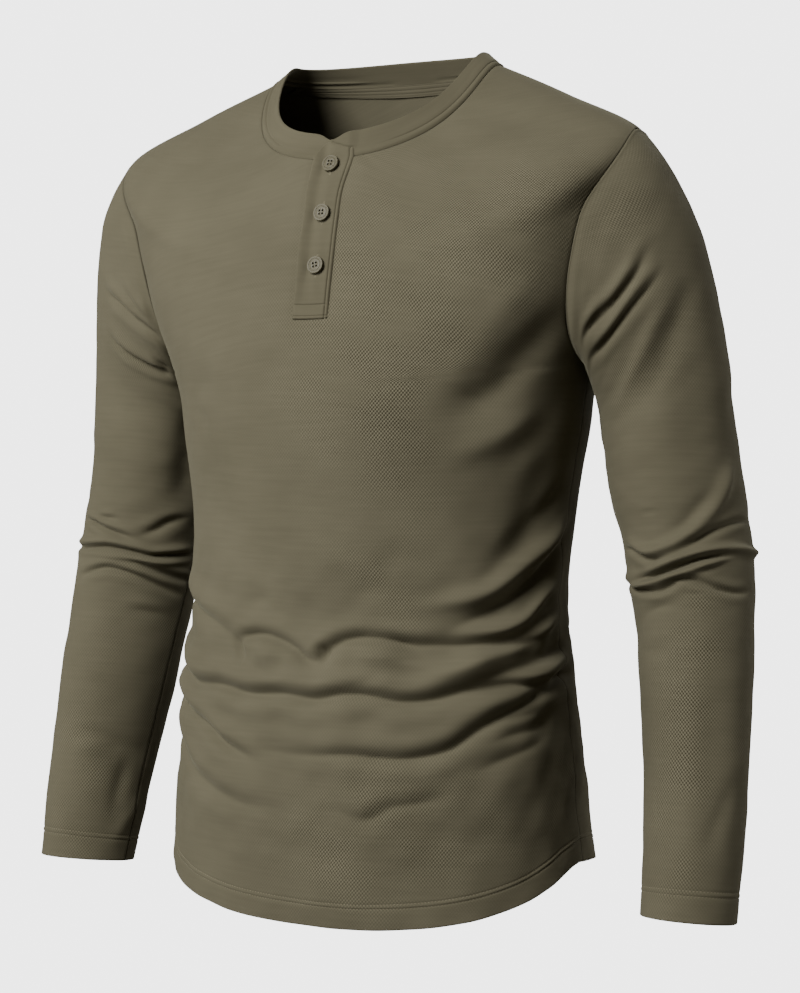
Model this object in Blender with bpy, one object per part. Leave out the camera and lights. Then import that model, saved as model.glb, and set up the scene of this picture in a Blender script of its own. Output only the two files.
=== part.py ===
"""Long-sleeved henley shirt in the hollow form it takes when worn, with nobody in it.

Metres, +Z up. The shirt faces -Y and the wearer's left is +X. The origin is the middle of the neck at
the height of the shoulder seams' inner ends, where a wearer's shoulders carry the shirt.
"""
from collections import namedtuple
from math import pi, radians

import bpy
import numpy as np
from mathutils import Matrix, Vector

MM = 0.001

# Driving dimensions, in millimetres unless a name says otherwise
CLOTH_THICK = 1.2
HEM_THICK = 2.3
HEM_HEIGHT = 20.0
BAND_THICK = 1.9
SEAM_GAP = 0.42
PLACKET_LEFT = -15.5
PLACKET_RIGHT = 16.5
PLACKET_FOOT = -198.0
PLACKET_LIFT = 0.35
PLACKET_THICK = 1.2
TAPE_WIDTH = 9.0
TAPE_THICK = 1.0
TAPE_GAP = 0.45
BUTTON_RADIUS = 7.0
# Radius and height of the button's turned profile, from the dish over the rim to the back
BUTTON_PROFILE = ((4.6, -0.2), (5.4, 0.5), (6.5, 0.6), (7.0, 0.1), (7.0, -1.3), (6.0, -1.9))
BUTTON_BACK = -1.9
BUTTON_HEIGHTS = (-75.0, -114.5, -156.0)
BUTTON_ACROSS = 2.6
BUTTON_SEAT = 0.4
HOLE_OFFSET = 1.3
HOLE_RADIUS = 0.65

# The body is a family of closed rings, from the hem (level 0) to the neck seam (level 1). A ring has
# its own height at the side, front and back. A small peak makes the height change close to the side.
Ring = namedtuple("Ring", "level z_side z_front z_back half_width y_front y_back y_side "
                          "peak_front peak_back")
RINGS = (
    Ring(0.00, -626, -673, -667, 184, -114, 128, 7, 0.76, 1.80),
    Ring(0.10, -562, -594, -590, 177, -113, 125, 6, 1.00, 2.40),
    Ring(0.22, -500, -512, -514, 171, -110, 121, 4, 3.00, 3.00),
    Ring(0.36, -430, -432, -434, 163, -104, 113, 3, 3.00, 3.00),
    Ring(0.50, -350, -352, -352, 166, -106, 116, 16, 3.00, 3.00),
    Ring(0.62, -285, -293, -290, 175, -111, 124, 21, 3.00, 3.00),
    Ring(0.72, -232, -248, -238, 185, -112, 128, 19, 3.00, 3.00),
    Ring(0.78, -168, -213, -190, 207, -109, 126, 10, 3.00, 3.00),
    Ring(0.84, -98, -176, -140, 225, -103, 118, 5, 3.00, 3.00),
    Ring(0.90, -52, -144, -90, 231, -96, 106, 0, 2.00, 3.00),
    Ring(0.95, -20, -104, -34, 168, -86, 89, 11, 1.20, 2.20),
    Ring(1.00, 9, -70, 8, 103, -73, 76, 22, 0.78, 1.40),
)
SQUARENESS = 2.25
UNDERARM_LEVEL = 0.72
SHOULDER_LEVEL = 0.90
NECK_LEVEL = 1.0

# Where the armholes cut the rings: the share of the half width that is left on front and back
Cut = namedtuple("Cut", "level front back")
ARMHOLE_CUTS = (
    Cut(0.720, 1.000, 1.000),
    Cut(0.735, 0.975, 0.985),
    Cut(0.755, 0.945, 0.960),
    Cut(0.780, 0.920, 0.940),
    Cut(0.810, 0.905, 0.925),
    Cut(0.840, 0.907, 0.925),
    Cut(0.870, 0.940, 0.950),
    Cut(0.900, 1.000, 1.000),
)

# Sleeve sections, from under the sleeve's cap to the cuff. Reach is the share of the sleeve's length.
# Turn swings the oval's long axis, pitch raises its front and roll its outer side, in degrees.
Section = namedtuple("Section", "reach x y z long_half short_half turn pitch roll")
SLEEVE_SECTIONS = (
    Section(0.30, 240, 38, -262, 56, 49, -40, -8, 22),
    Section(0.42, 247, 40, -320, 54.5, 51, -42, -6, 8),
    Section(0.55, 257.5, 42, -376, 55, 49, -45, 0, 8),
    Section(0.68, 267, 34, -440, 53, 44.5, -45, 8, 8),
    Section(0.80, 274.5, 17, -520, 49, 40.5, -45, 14, 6),
    Section(0.91, 280, -1, -595, 44, 37.5, -45, 14, 4),
    Section(1.00, 281.5, -16, -657, 41, 36.5, -45, 9, 0),
)
CAP_REACH = 0.30
RIGHT_CUFF_DROP = 6.5       # the right sleeve ends this much lower than the left
DROP_START = 0.70
SLEEVE_LENGTH = 640.0
JUST_BELOW_SEAM = 0.012    # reach at which the cap's own slope is read, for the seam's normals

# The neckband's upper edge is one more ring, which dips to a notch over the placket
BAND_TOP = Ring(1.0, 22, -49, 26, 88, -68, 66, 26, 0.77, 3.50)
NOTCH_SHARE = 0.27
NOTCH_WIDTH = 9.0
BAND_RUN = 0.036     # the band's height in the same measure as the rings' levels

# Rows up the neckband, and how far each stands out from its plain slope, for the roll at its foot
Roll = namedtuple("Roll", "up out")
BAND_ROWS = (Roll(0.0, 0.0), Roll(0.22, 0.0), Roll(0.30, -0.5), Roll(0.66, -0.2), Roll(1.0, 0.0))

# Outline of the placket's upper end: how far up the neckband each column of it reaches
Reach = namedtuple("Reach", "across up")
PLACKET_TOP_EDGE = (
    Reach(-15.5, -0.30), Reach(-14.0, 0.05), Reach(-12.0, 0.30), Reach(-9.0, 0.58), Reach(-5.0, 0.86),
    Reach(-1.0, 0.97), Reach(5.0, 0.70), Reach(11.0, 0.49), Reach(16.5, 0.38),
)

# Folds of the body: a path through three places, each an angle round the body from the front centre,
# in degrees, and a height. Height of the fold is outwards, so a trough has a negative one.
Fold = namedtuple("Fold", "across1 up1 across2 up2 across3 up3 width height")
BODY_FOLDS = (
    Fold(-62, -424, -42, -446, -20, -472, 9, -5.5),
    Fold(-24, -452, -12, -445, 1, -466, 7, -4.0),
    Fold(4, -458, 16, -443, 32, -452, 7, -4.0),
    Fold(-48, -470, -14, -464, 34, -464, 11, 5.0),
    Fold(-50, -484, 14, -496, 70, -474, 10, -7.5),
    Fold(-56, -506, 10, -516, 66, -492, 14, 5.5),
    Fold(-22, -540, 18, -538, 68, -486, 10, -6.0),
    Fold(-54, -512, -36, -530, -20, -541, 9, -5.0),
    Fold(-50, -548, 6, -560, 56, -528, 15, 4.5),
    Fold(-50, -566, -20, -588, 8, -578, 12, -3.5),
    Fold(8, -580, 22, -588, 52, -558, 12, -3.5),
    Fold(40, -434, 62, -442, 94, -420, 9, -4.5),
    Fold(46, -470, 66, -456, 100, -436, 10, -5.5),
    Fold(44, -452, 64, -450, 92, -432, 9, 4.0),
    Fold(70, -474, 98, -482, 128, -470, 11, -5.0),
    Fold(112, -446, 160, -462, 214, -448, 13, -6.0),
    Fold(120, -466, 166, -486, 222, -468, 14, 5.0),
    Fold(138, -494, 184, -510, 240, -490, 12, -6.0),
    Fold(150, -402, 196, -418, 238, -404, 13, -4.0),
    Fold(128, -544, 170, -560, 206, -540, 14, -4.0),
    Fold(-118, -420, -96, -436, -66, -428, 10, -5.0),
    Fold(-110, -498, -84, -512, -58, -500, 12, -4.5),
)
BODY_MM_PER_DEGREE = 2.6

# Folds of the sleeves: angle round the sleeve from its outer side by way of the front, and reach in
# thousandths of the sleeve's length.
LEFT_SLEEVE_FOLDS = (
    Fold(44, 118, 84, 116, 132, 64, 12, -4.5),
    Fold(40, 156, 92, 154, 140, 96, 13, -5.0),
    Fold(48, 205, 96, 226, 132, 268, 14, -4.0),
    Fold(10, 420, 62, 508, 118, 534, 13, 5.0),
    Fold(124, 556, 96, 560, 50, 532, 7, -5.0),
    Fold(128, 584, 90, 586, 30, 560, 9, 5.5),
    Fold(142, 606, 86, 602, 26, 582, 7, -6.0),
    Fold(134, 632, 84, 622, 20, 616, 9, 4.5),
    Fold(140, 662, 92, 650, 48, 660, 8, -3.0),
    Fold(200, 520, 250, 548, 320, 530, 14, -4.0),
    Fold(196, 576, 262, 590, 330, 570, 10, 5.0),
    Fold(190, 606, 258, 616, 334, 596, 8, -5.0),
    Fold(20, 830, 52, 896, 66, 944, 12, -3.0),
)
RIGHT_SLEEVE_FOLDS = (
    Fold(52, 140, 94, 128, 150, 70, 12, -4.5),
    Fold(70, 190, 104, 184, 146, 132, 12, -4.0),
    Fold(66, 516, 98, 524, 144, 536, 8, -4.0),
    Fold(52, 540, 92, 554, 130, 562, 9, 4.0),
    Fold(46, 584, 96, 576, 184, 586, 7, -6.0),
    Fold(50, 604, 100, 604, 186, 606, 10, 5.0),
    Fold(56, 650, 104, 624, 188, 634, 8, -4.5),
    Fold(200, 520, 256, 546, 320, 530, 14, -4.0),
    Fold(196, 570, 262, 584, 330, 566, 10, 5.0),
    Fold(196, 600, 262, 612, 334, 596, 8, -5.0),
    Fold(72, 862, 116, 854, 180, 868, 10, -3.0),
    Fold(80, 884, 118, 868, 150, 868, 9, 2.5),
    Fold(150, 866, 156, 905, 146, 950, 11, -3.0),
)
SLEEVE_MM_PER_DEGREE = 0.84

# Grid counts, and the step in a surface's parameters between which its slope is read
PARAMETER_STEP = 0.004
FRONT_COLUMNS_A_SIDE = 11
BACK_COLUMNS = 18
TAPE_MARGIN = 2
SLEEVE_COLUMNS_A_HALF = 9
BODY_LEVELS = (0.08, 0.125, 0.165, 0.195, 0.22, 0.245, 0.268, 0.29, 0.312, 0.335, 0.365, 0.42, 0.50,
               0.61)
SHOULDER_LEVELS = (0.92, 0.945, 0.97, 0.988)
SLEEVE_REACHES = (0.07, 0.14, 0.21, 0.29, 0.38, 0.46, 0.515, 0.54, 0.56, 0.58, 0.60, 0.62, 0.65,
                  0.71, 0.80, 0.90)

# Fabric dyed one olive drab, and buttons dyed to match
CLOTH_COLOUR = (0.178, 0.155, 0.107)
BUTTON_COLOUR = (0.150, 0.132, 0.092)


def clear_scene():
    for item in list(bpy.data.objects):
        bpy.data.objects.remove(item, do_unlink=True)


def material(name, colour, roughness):
    made = bpy.data.materials.new(name)
    made.use_nodes = True
    shader = made.node_tree.nodes["Principled BSDF"]
    shader.inputs["Base Color"].default_value = (*colour, 1.0)
    shader.inputs["Roughness"].default_value = roughness
    shader.inputs["Metallic"].default_value = 0.0
    return made


def columns_of(table, scale):
    """The table's knots, which are its first column, and its other columns, scaled."""
    rows = np.array(table, float)
    return rows[:, 0], rows[:, 1:]*np.array(scale)


def along(knots, values, at):
    """Smooth curve through the table's rows, read at any knot value."""
    slopes = np.gradient(values, knots, axis=0)
    at = np.asarray(at, float)
    low = np.clip(np.searchsorted(knots, at, side="right") - 1, 0, len(knots) - 2)
    step = (knots[low + 1] - knots[low])[..., None]
    t = (at - knots[low])[..., None]/step
    return ((2*t**3 - 3*t**2 + 1)*values[low] + (t**3 - 2*t**2 + t)*step*slopes[low]
            + (3*t**2 - 2*t**3)*values[low + 1] + (t**3 - t**2)*step*slopes[low + 1])


RING_KNOTS, RING_VALUES = columns_of(RINGS, [MM]*7 + [1, 1])
CUT_KNOTS, CUT_VALUES = columns_of(ARMHOLE_CUTS, [1, 1])
SECTION_KNOTS, SECTION_VALUES = columns_of(SLEEVE_SECTIONS, [MM]*5 + [pi/180]*3)


def ring_point(theta, values):
    """Point of a ring at an angle from the front centre, positive to the wearer's left."""
    z_side, z_front, z_back, half_width, y_front, y_back, y_side, peak_front, peak_back = (
        np.moveaxis(values, -1, 0))
    sine, cosine = np.sin(theta), np.cos(theta)
    corner = (np.abs(sine)**SQUARENESS + np.abs(cosine)**SQUARENESS)**(-1/SQUARENESS)
    in_front = cosine > 0
    depth = np.where(in_front, y_front - y_side, y_back - y_side)
    drop = np.where(in_front, z_front - z_side, z_back - z_side)
    peak = np.where(in_front, peak_front, peak_back)
    rise = cosine**2*(1 + peak**2)/(cosine**2 + peak**2)
    return np.stack([half_width*sine*corner, y_side + depth*np.abs(cosine)*corner,
                     z_side + drop*rise], -1)


def fold_height(folds, across, up, round_trip):
    """Height of all the folds together at places on the flat cloth, which closes into a tube."""
    total = np.zeros(np.broadcast(across, up).shape)
    for fold in folds:
        path_share = np.linspace(0, 1, 15)
        knots = np.array([0.0, 0.5, 1.0])
        path_across = along(knots, np.array([[fold.across1], [fold.across2], [fold.across3]]),
                            path_share)[:, 0]
        path_up = along(knots, np.array([[fold.up1], [fold.up2], [fold.up3]]), path_share)[:, 0]
        apart = (across[..., None] - path_across + round_trip/2) % round_trip - round_trip/2
        square = apart**2 + (up[..., None] - path_up)**2
        nearest = np.argmin(square, axis=-1)
        taper = np.sin(pi*np.clip(path_share[nearest], 0.02, 0.98))**0.8
        total += fold.height*MM*taper*np.exp(-np.min(square, axis=-1)/fold.width**2)
    return total


def scaled(folds, across_scale, up_scale):
    """Folds with both coordinates of their paths in millimetres on the flat cloth."""
    return [fold._replace(across1=fold.across1*across_scale, up1=fold.up1*up_scale,
                          across2=fold.across2*across_scale, up2=fold.up2*up_scale,
                          across3=fold.across3*across_scale, up3=fold.up3*up_scale)
            for fold in folds]


BODY_FOLDS_FLAT = scaled(BODY_FOLDS, BODY_MM_PER_DEGREE, 1.0)
LEFT_FOLDS_FLAT = scaled(LEFT_SLEEVE_FOLDS, SLEEVE_MM_PER_DEGREE, SLEEVE_LENGTH/1000)
RIGHT_FOLDS_FLAT = scaled(RIGHT_SLEEVE_FOLDS, SLEEVE_MM_PER_DEGREE, SLEEVE_LENGTH/1000)


def normals_of(surface, across, down, step=PARAMETER_STEP):
    """Unit normals of a surface of two parameters, on the side of across x down."""
    side = surface(across + step, down) - surface(across - step, down)
    run = surface(across, down + step) - surface(across, down - step)
    normal = np.cross(side, run)
    return normal/np.linalg.norm(normal, axis=-1, keepdims=True)


def body_form(theta, level):
    theta, level = np.broadcast_arrays(theta, level)
    return ring_point(theta, along(RING_KNOTS, RING_VALUES, np.minimum(level, NECK_LEVEL + PARAMETER_STEP)))


def body(theta, level):
    """The body's outer surface with its folds."""
    theta, level = np.broadcast_arrays(theta, level)
    form = body_form(theta, level)
    height = fold_height(BODY_FOLDS_FLAT, np.degrees(theta)*BODY_MM_PER_DEGREE, form[..., 2]/MM,
                         360*BODY_MM_PER_DEGREE)
    return form + normals_of(body_form, theta, level)*height[..., None]


def edge_angle(level, of_back):
    """Angle at which a panel ends, at its side seam, armhole or shoulder seam."""
    share = along(CUT_KNOTS, CUT_VALUES, np.clip(level, UNDERARM_LEVEL, SHOULDER_LEVEL))
    share = np.clip(share[..., 1 if of_back else 0], 0, 1)**SQUARENESS
    share = np.where((level > UNDERARM_LEVEL) & (level < SHOULDER_LEVEL), share, 1.0)
    return np.arctan2(share**(1/SQUARENESS), (1 - share)**(1/SQUARENESS))


def armhole_levels(of_back):
    """Level against the share of the armhole's length, from the shoulder point to the underarm."""
    turn = np.linspace(0, pi, 200)
    level = (UNDERARM_LEVEL + SHOULDER_LEVEL)/2 + (SHOULDER_LEVEL - UNDERARM_LEVEL)/2*np.cos(turn)
    angle = edge_angle(level, of_back)
    points = body_form(pi - angle if of_back else angle, level)
    length = np.r_[0, np.cumsum(np.linalg.norm(np.diff(points, axis=0), axis=1))]
    return length/length[-1], level


ARMHOLE = {of_back: armhole_levels(of_back) for of_back in (False, True)}


def armhole_level(share, of_back):
    lengths, levels = ARMHOLE[of_back]
    return np.interp(share, lengths, levels)


def armhole_place(phi):
    """Angle and level on the body of the left armhole's edge, by the angle round the sleeve."""
    phi = np.mod(phi, 2*pi)
    in_front = phi <= pi
    level = np.where(in_front, armhole_level(phi/pi, False), armhole_level(2 - phi/pi, True))
    angle = np.where(in_front, edge_angle(level, False), pi - edge_angle(level, True))
    return angle, level


def sleeve_section(phi, reach):
    x, y, z, long_half, short_half, turn, pitch, roll = np.moveaxis(
        along(SECTION_KNOTS, SECTION_VALUES, reach), -1, 0)
    angle = -phi - turn
    long_side, short_side = long_half*np.cos(angle), short_half*np.sin(angle)
    out = long_side*np.cos(turn) - short_side*np.sin(turn)
    back = long_side*np.sin(turn) + short_side*np.cos(turn)
    return np.stack([x + out, y + back, z - np.tan(pitch)*back + np.tan(roll)*out], -1)


def sleeve_form(phi, reach, body_surface=body_form):
    """Left sleeve without folds: it leaves the armhole outwards and turns down into its sections."""
    phi, reach = np.broadcast_arrays(np.asarray(phi, float), np.asarray(reach, float))
    tube = sleeve_section(phi, np.maximum(reach, CAP_REACH))
    start = body_surface(*armhole_place(phi))
    end = sleeve_section(phi, np.full_like(phi, CAP_REACH))
    onward = sleeve_section(phi, np.full_like(phi, CAP_REACH + 0.02)) - end
    onward /= np.linalg.norm(onward, axis=-1, keepdims=True)
    span = np.linalg.norm(end - start, axis=-1, keepdims=True)
    top = (0.5 + 0.5*np.cos(phi))[..., None]
    leaving = np.array([0.72, 0.0, -0.69])*top + np.array([0.70, 0.0, -0.72])*(1 - top)
    leaving = leaving*span*(0.85*top + 0.70*(1 - top))
    t = np.clip(reach/CAP_REACH, -0.05, 1)[..., None]
    cap = ((2*t**3 - 3*t**2 + 1)*start + (t**3 - 2*t**2 + t)*leaving
           + (3*t**2 - 2*t**3)*end + (t**3 - t**2)*onward*span*1.1)
    return np.where((reach < CAP_REACH)[..., None], cap, tube)


def sleeve_surface(folds):
    def surface(phi, reach):
        phi, reach = np.broadcast_arrays(np.asarray(phi, float), np.asarray(reach, float))
        form = sleeve_form(phi, reach, body)
        height = fold_height(folds, np.degrees(phi)*SLEEVE_MM_PER_DEGREE, reach*SLEEVE_LENGTH,
                             360*SLEEVE_MM_PER_DEGREE)
        height *= np.clip(reach/0.06, 0, 1)
        return form + normals_of(sleeve_form, phi, reach)*height[..., None]
    return surface


def band(theta, up):
    """Outer surface of the neckband, from the neck seam (0) to its upper edge (1)."""
    theta, up = np.broadcast_arrays(np.asarray(theta, float), np.asarray(up, float))
    seam = body_form(theta, np.full_like(theta, NECK_LEVEL))
    top = ring_point(theta, np.broadcast_to(np.array(BAND_TOP[1:])*np.array([MM]*7 + [1, 1]),
                                            theta.shape + (9,)))
    at_front = np.where(np.cos(theta) > 0, np.exp(-(top[..., 0]/MM/NOTCH_WIDTH)**2), 0.0)
    share = (up*(1 - NOTCH_SHARE*at_front))[..., None]
    return seam*(1 - share) + top*share


def pull(points, edge, inner, distance):
    """Moves one row of points towards the next row, by a distance in millimetres."""
    step = points[inner] - points[edge]
    step /= np.linalg.norm(step, axis=-1, keepdims=True)
    points[edge] += step*distance*MM


def cloth_mesh(outer, inner, kept=None, round_tube=False):
    """Closed wall between two grids of points, with rims along every open edge."""
    rows, columns = outer.shape[:2]
    ring = columns if round_tube else columns - 1
    if kept is None:
        kept = np.ones((rows - 1, ring), bool)
    index = np.arange(rows*columns).reshape(rows, columns)
    count = rows*columns
    faces, edges = [], {}
    for row in range(rows - 1):
        for column in range(ring):
            if not kept[row, column]:
                continue
            after = (column + 1) % columns
            loop = [index[row, column], index[row, after], index[row + 1, after],
                    index[row + 1, column]]
            faces.append(loop)
            faces.append([count + corner for corner in reversed(loop)])
            for start, end in zip(loop, loop[1:] + loop[:1]):
                edges[(start, end)] = True
    for start, end in edges:
        if (end, start) not in edges:
            faces.append([end, start, count + start, count + end])
    points = np.concatenate([outer.reshape(-1, 3), inner.reshape(-1, 3)])
    used = sorted({corner for face in faces for corner in face})
    place = {old: new for new, old in enumerate(used)}
    return points[used], [[place[corner] for corner in face] for face in faces]


def add_piece(name, points, faces, finish, collection, mirrored=False):
    if mirrored:
        points = points*np.array([-1.0, 1.0, 1.0])
        faces = [face[::-1] for face in faces]
    mesh = bpy.data.meshes.new(name)
    mesh.from_pydata([tuple(point) for point in points], [], [tuple(map(int, face)) for face in faces])
    mesh.materials.append(finish)
    mesh.shade_smooth()
    mesh.set_sharp_from_angle(angle=radians(50))
    mesh.update()
    piece = bpy.data.objects.new(name, mesh)
    collection.objects.link(piece)
    return piece


def hem_levels(theta):
    """Level of the hem's stitching, which runs at one height above the edge."""
    run = body_form(theta, np.full_like(theta, 0.01)) - body_form(theta, np.zeros_like(theta))
    return HEM_HEIGHT*MM/np.linalg.norm(run, axis=-1)*0.01


def panel_grid(angles_of_level, levels):
    """Angle and level of every point of a panel, with two more rows for the hem."""
    low = angles_of_level(0.0)
    stitched = hem_levels(low)
    theta = [low, low, low]
    level = [np.zeros_like(low), stitched, stitched + 0.002]
    for value in levels:
        theta.append(angles_of_level(value))
        level.append(np.full_like(low, value))
    return np.array(theta), np.array(level)


def panel_walls(theta, level, of_back):
    """Outer and inner points of a panel, drawn back from its seams."""
    outer = body(theta, level)
    normal = normals_of(body, theta, level)
    in_armhole = (level[:, 0] > UNDERARM_LEVEL + 1e-6) & (level[:, 0] < SHOULDER_LEVEL - 1e-6)
    for row in np.flatnonzero(in_armhole):
        lengths, levels = ARMHOLE[of_back]
        share = np.interp(-level[row, 0], -levels, lengths)
        phi = pi*(2 - share) if of_back else pi*share
        sleeve_normal = normals_of(sleeve_form, np.array(phi), np.array(JUST_BELOW_SEAM))
        for column, side in ((0, 1 if of_back else -1), (-1, -1 if of_back else 1)):
            both = normal[row, column] + sleeve_normal*np.array([side, 1, 1])
            normal[row, column] = both/np.linalg.norm(both)
    thick = np.full(theta.shape + (1,), CLOTH_THICK*MM)
    thick[:2] = HEM_THICK*MM
    inner = outer - normal*thick
    for grid in (outer, inner):
        columns = np.moveaxis(grid, 1, 0)
        pull(columns, 0, 1, SEAM_GAP/2)
        pull(columns, -1, -2, SEAM_GAP/2)
        pull(grid, -1, -2, SEAM_GAP/2)
    return outer, inner


def placket_angle(across, level):
    """Angle at which a ring passes a distance from the centre line."""
    half = along(RING_KNOTS, RING_VALUES, level)[..., 3]
    return np.arcsin(across*MM/half)


def centre_level(height):
    """Level of a height in millimetres, on the front's centre line."""
    levels = np.linspace(UNDERARM_LEVEL, NECK_LEVEL, 600)
    return np.interp(np.asarray(height)*MM, body_form(0.0, levels)[..., 2], levels)


FOOT_LEVEL = float(centre_level(PLACKET_FOOT))


def panel_levels(of_back):
    """All of a panel's levels above the hem, with even steps round the armhole."""
    armhole = armhole_level(np.linspace(1, 0, SLEEVE_COLUMNS_A_HALF + 1), of_back)
    return [*BODY_LEVELS, *armhole, *SHOULDER_LEVELS, NECK_LEVEL]


def front_angles(level):
    """Columns run from edge to edge, with three of them down the placket's opening."""
    level = np.asarray(level, float)
    left, right = placket_angle(PLACKET_LEFT, level), placket_angle(PLACKET_RIGHT, level)
    edge = edge_angle(level, False)
    share = np.linspace(0, 1, FRONT_COLUMNS_A_SIDE)
    return np.concatenate([-edge + (left + edge)*share, [(left + right)/2],
                           right + (edge - right)*share])


def foot_place(levels):
    """Which of the front's levels the placket's foot takes."""
    return int(np.argmin(np.abs(np.array(levels) - FOOT_LEVEL)))


def build_front(finish, collection):
    levels = panel_levels(False)
    theta, level = panel_grid(front_angles, levels)
    foot_row = foot_place(levels) + 3
    opening = slice(FRONT_COLUMNS_A_SIDE - 1, FRONT_COLUMNS_A_SIDE + 2)
    level[foot_row, opening] = FOOT_LEVEL
    theta[foot_row, opening] = placket_angle(np.linspace(PLACKET_LEFT, PLACKET_RIGHT, 3), FOOT_LEVEL)
    outer, inner = panel_walls(theta, level, False)
    for grid in (outer, inner):
        grid[foot_row:, opening.start, 0] -= SEAM_GAP*MM
        grid[foot_row:, opening.stop - 1, 0] += SEAM_GAP*MM
    kept = np.ones((theta.shape[0] - 1, theta.shape[1] - 1), bool)
    kept[foot_row:, opening.start:opening.stop - 1] = False
    add_piece("front", *cloth_mesh(outer, inner, kept), finish, collection)


def back_angles(level):
    return pi + edge_angle(np.asarray(level, float), True)*np.linspace(-1, 1, BACK_COLUMNS + 1)


def build_back(finish, collection):
    theta, level = panel_grid(back_angles, panel_levels(True))
    outer, inner = panel_walls(theta, level, True)
    add_piece("back", *cloth_mesh(outer, inner), finish, collection)


def build_sleeve(name, folds, mirrored, finish, collection):
    surface = sleeve_surface(folds)
    phi = np.linspace(0, 2*pi, 2*SLEEVE_COLUMNS_A_HALF + 1)[:-1]
    hem = 1 - HEM_HEIGHT/SLEEVE_LENGTH
    reaches = np.array([0.0, *SLEEVE_REACHES, hem - 0.002, hem, 1.0])
    angle, reach = np.meshgrid(phi, reaches)
    outer = surface(angle, reach)
    normal = normals_of(surface, angle, np.maximum(reach, PARAMETER_STEP))
    body_normal = normals_of(body, *armhole_place(phi))
    both = normals_of(sleeve_form, phi, np.full_like(phi, JUST_BELOW_SEAM)) + body_normal
    normal[0] = both/np.linalg.norm(both, axis=-1, keepdims=True)
    thick = np.full(angle.shape + (1,), CLOTH_THICK*MM)
    thick[-2:] = HEM_THICK*MM
    inner = outer - normal*thick
    if mirrored:
        share = np.clip((reach - DROP_START)/(1 - DROP_START), 0, 1)
        for grid in (outer, inner):
            grid[..., 2] -= RIGHT_CUFF_DROP*MM*share**2*(3 - 2*share)
    pull(outer, 0, 1, SEAM_GAP)
    pull(inner, 0, 1, SEAM_GAP)
    points, faces = cloth_mesh(outer, inner, round_tube=True)
    add_piece(name, points, faces, finish, collection, mirrored)


def build_neckband(finish, collection):
    side = np.linspace(0.0, 1.0, FRONT_COLUMNS_A_SIDE)
    left = placket_angle(PLACKET_LEFT, NECK_LEVEL)
    right = placket_angle(PLACKET_RIGHT, NECK_LEVEL)
    back = pi + pi/2*np.linspace(-1, 1, BACK_COLUMNS + 1)
    theta = np.concatenate([[0.0, right/3, right*2/3], right + (pi/2 - right)*side, back[1:],
                            2*pi - pi/2 + (left + pi/2)*side[1:],
                            [2*pi + left*2/3, 2*pi + left/3, 2*pi]])
    angle, up = np.meshgrid(theta, [row.up for row in BAND_ROWS])
    normal = normals_of(band, angle, up)
    outer = band(angle, up) + normal*(np.array([row.out for row in BAND_ROWS])*MM)[:, None, None]
    inner = outer - normal*BAND_THICK*MM
    for grid in (outer, inner):
        columns = np.moveaxis(grid, 1, 0)
        pull(grid, 0, 1, SEAM_GAP/2)
        pull(columns, 0, 1, SEAM_GAP/2)
        pull(columns, -1, -2, SEAM_GAP/2)
    add_piece("neckband", *cloth_mesh(outer, inner), finish, collection)


def strip(across, run):
    """Front centre surface by distance from the centre line and a run that goes on up the band."""
    across, run = np.broadcast_arrays(np.asarray(across, float), np.asarray(run, float))
    level = np.minimum(run, NECK_LEVEL)
    on_body = body_form(placket_angle(across, level), level)
    seam_angle = placket_angle(across, np.full_like(level, NECK_LEVEL))
    on_band = band(seam_angle, np.maximum(run - NECK_LEVEL, 0)/BAND_RUN)
    return np.where((run > NECK_LEVEL)[..., None], on_band, on_body)


def build_placket_under(finish, collection):
    across = np.linspace(PLACKET_LEFT, PLACKET_RIGHT, 3)
    levels = panel_levels(False)
    grid, run = np.meshgrid(across, [FOOT_LEVEL, *levels[foot_place(levels) + 1:]])
    outer = body(placket_angle(grid, run), run)
    normal = normals_of(body, placket_angle(grid, run), run)
    inner = outer - normal*CLOTH_THICK*MM
    for points in (outer, inner):
        pull(points, 0, 1, SEAM_GAP)
        pull(points, -1, -2, SEAM_GAP)
    add_piece("placket_under", *cloth_mesh(outer, inner), finish, collection)


def build_placket_top(finish, collection):
    across = np.array([row.across for row in PLACKET_TOP_EDGE])
    top = NECK_LEVEL + BAND_RUN*np.array([row.up for row in PLACKET_TOP_EDGE])
    share = np.linspace(0, 1, 12)[:, None]
    run = FOOT_LEVEL + (top - FOOT_LEVEL)*share
    width = np.broadcast_to(across, run.shape)
    surface = strip(width, run)
    normal = normals_of(strip, width, run)
    lower = surface + normal*PLACKET_LIFT*MM
    upper = lower + normal*PLACKET_THICK*MM
    add_piece("placket_top", *cloth_mesh(upper, lower), finish, collection)


def build_neck_tape(finish, collection):
    """Tape along the inside of the back neck seam, on the back's own columns."""
    theta = back_angles(NECK_LEVEL)[TAPE_MARGIN:-TAPE_MARGIN]
    low_level = SHOULDER_LEVELS[-1]
    seam = body(theta, np.full_like(theta, NECK_LEVEL))
    down = body(theta, np.full_like(theta, low_level)) - seam
    down /= np.linalg.norm(down, axis=-1, keepdims=True)
    normal = normals_of(body, theta, np.full_like(theta, (NECK_LEVEL + low_level)/2))
    outer = np.array([seam + down*drop*MM for drop in (1.0 + TAPE_WIDTH, 1.0 + TAPE_WIDTH/2, 1.0)])
    outer = outer - normal*(CLOTH_THICK + TAPE_GAP)*MM
    inner = outer - normal*TAPE_THICK*MM
    add_piece("neck_tape", *cloth_mesh(outer, inner), finish, collection)


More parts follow.
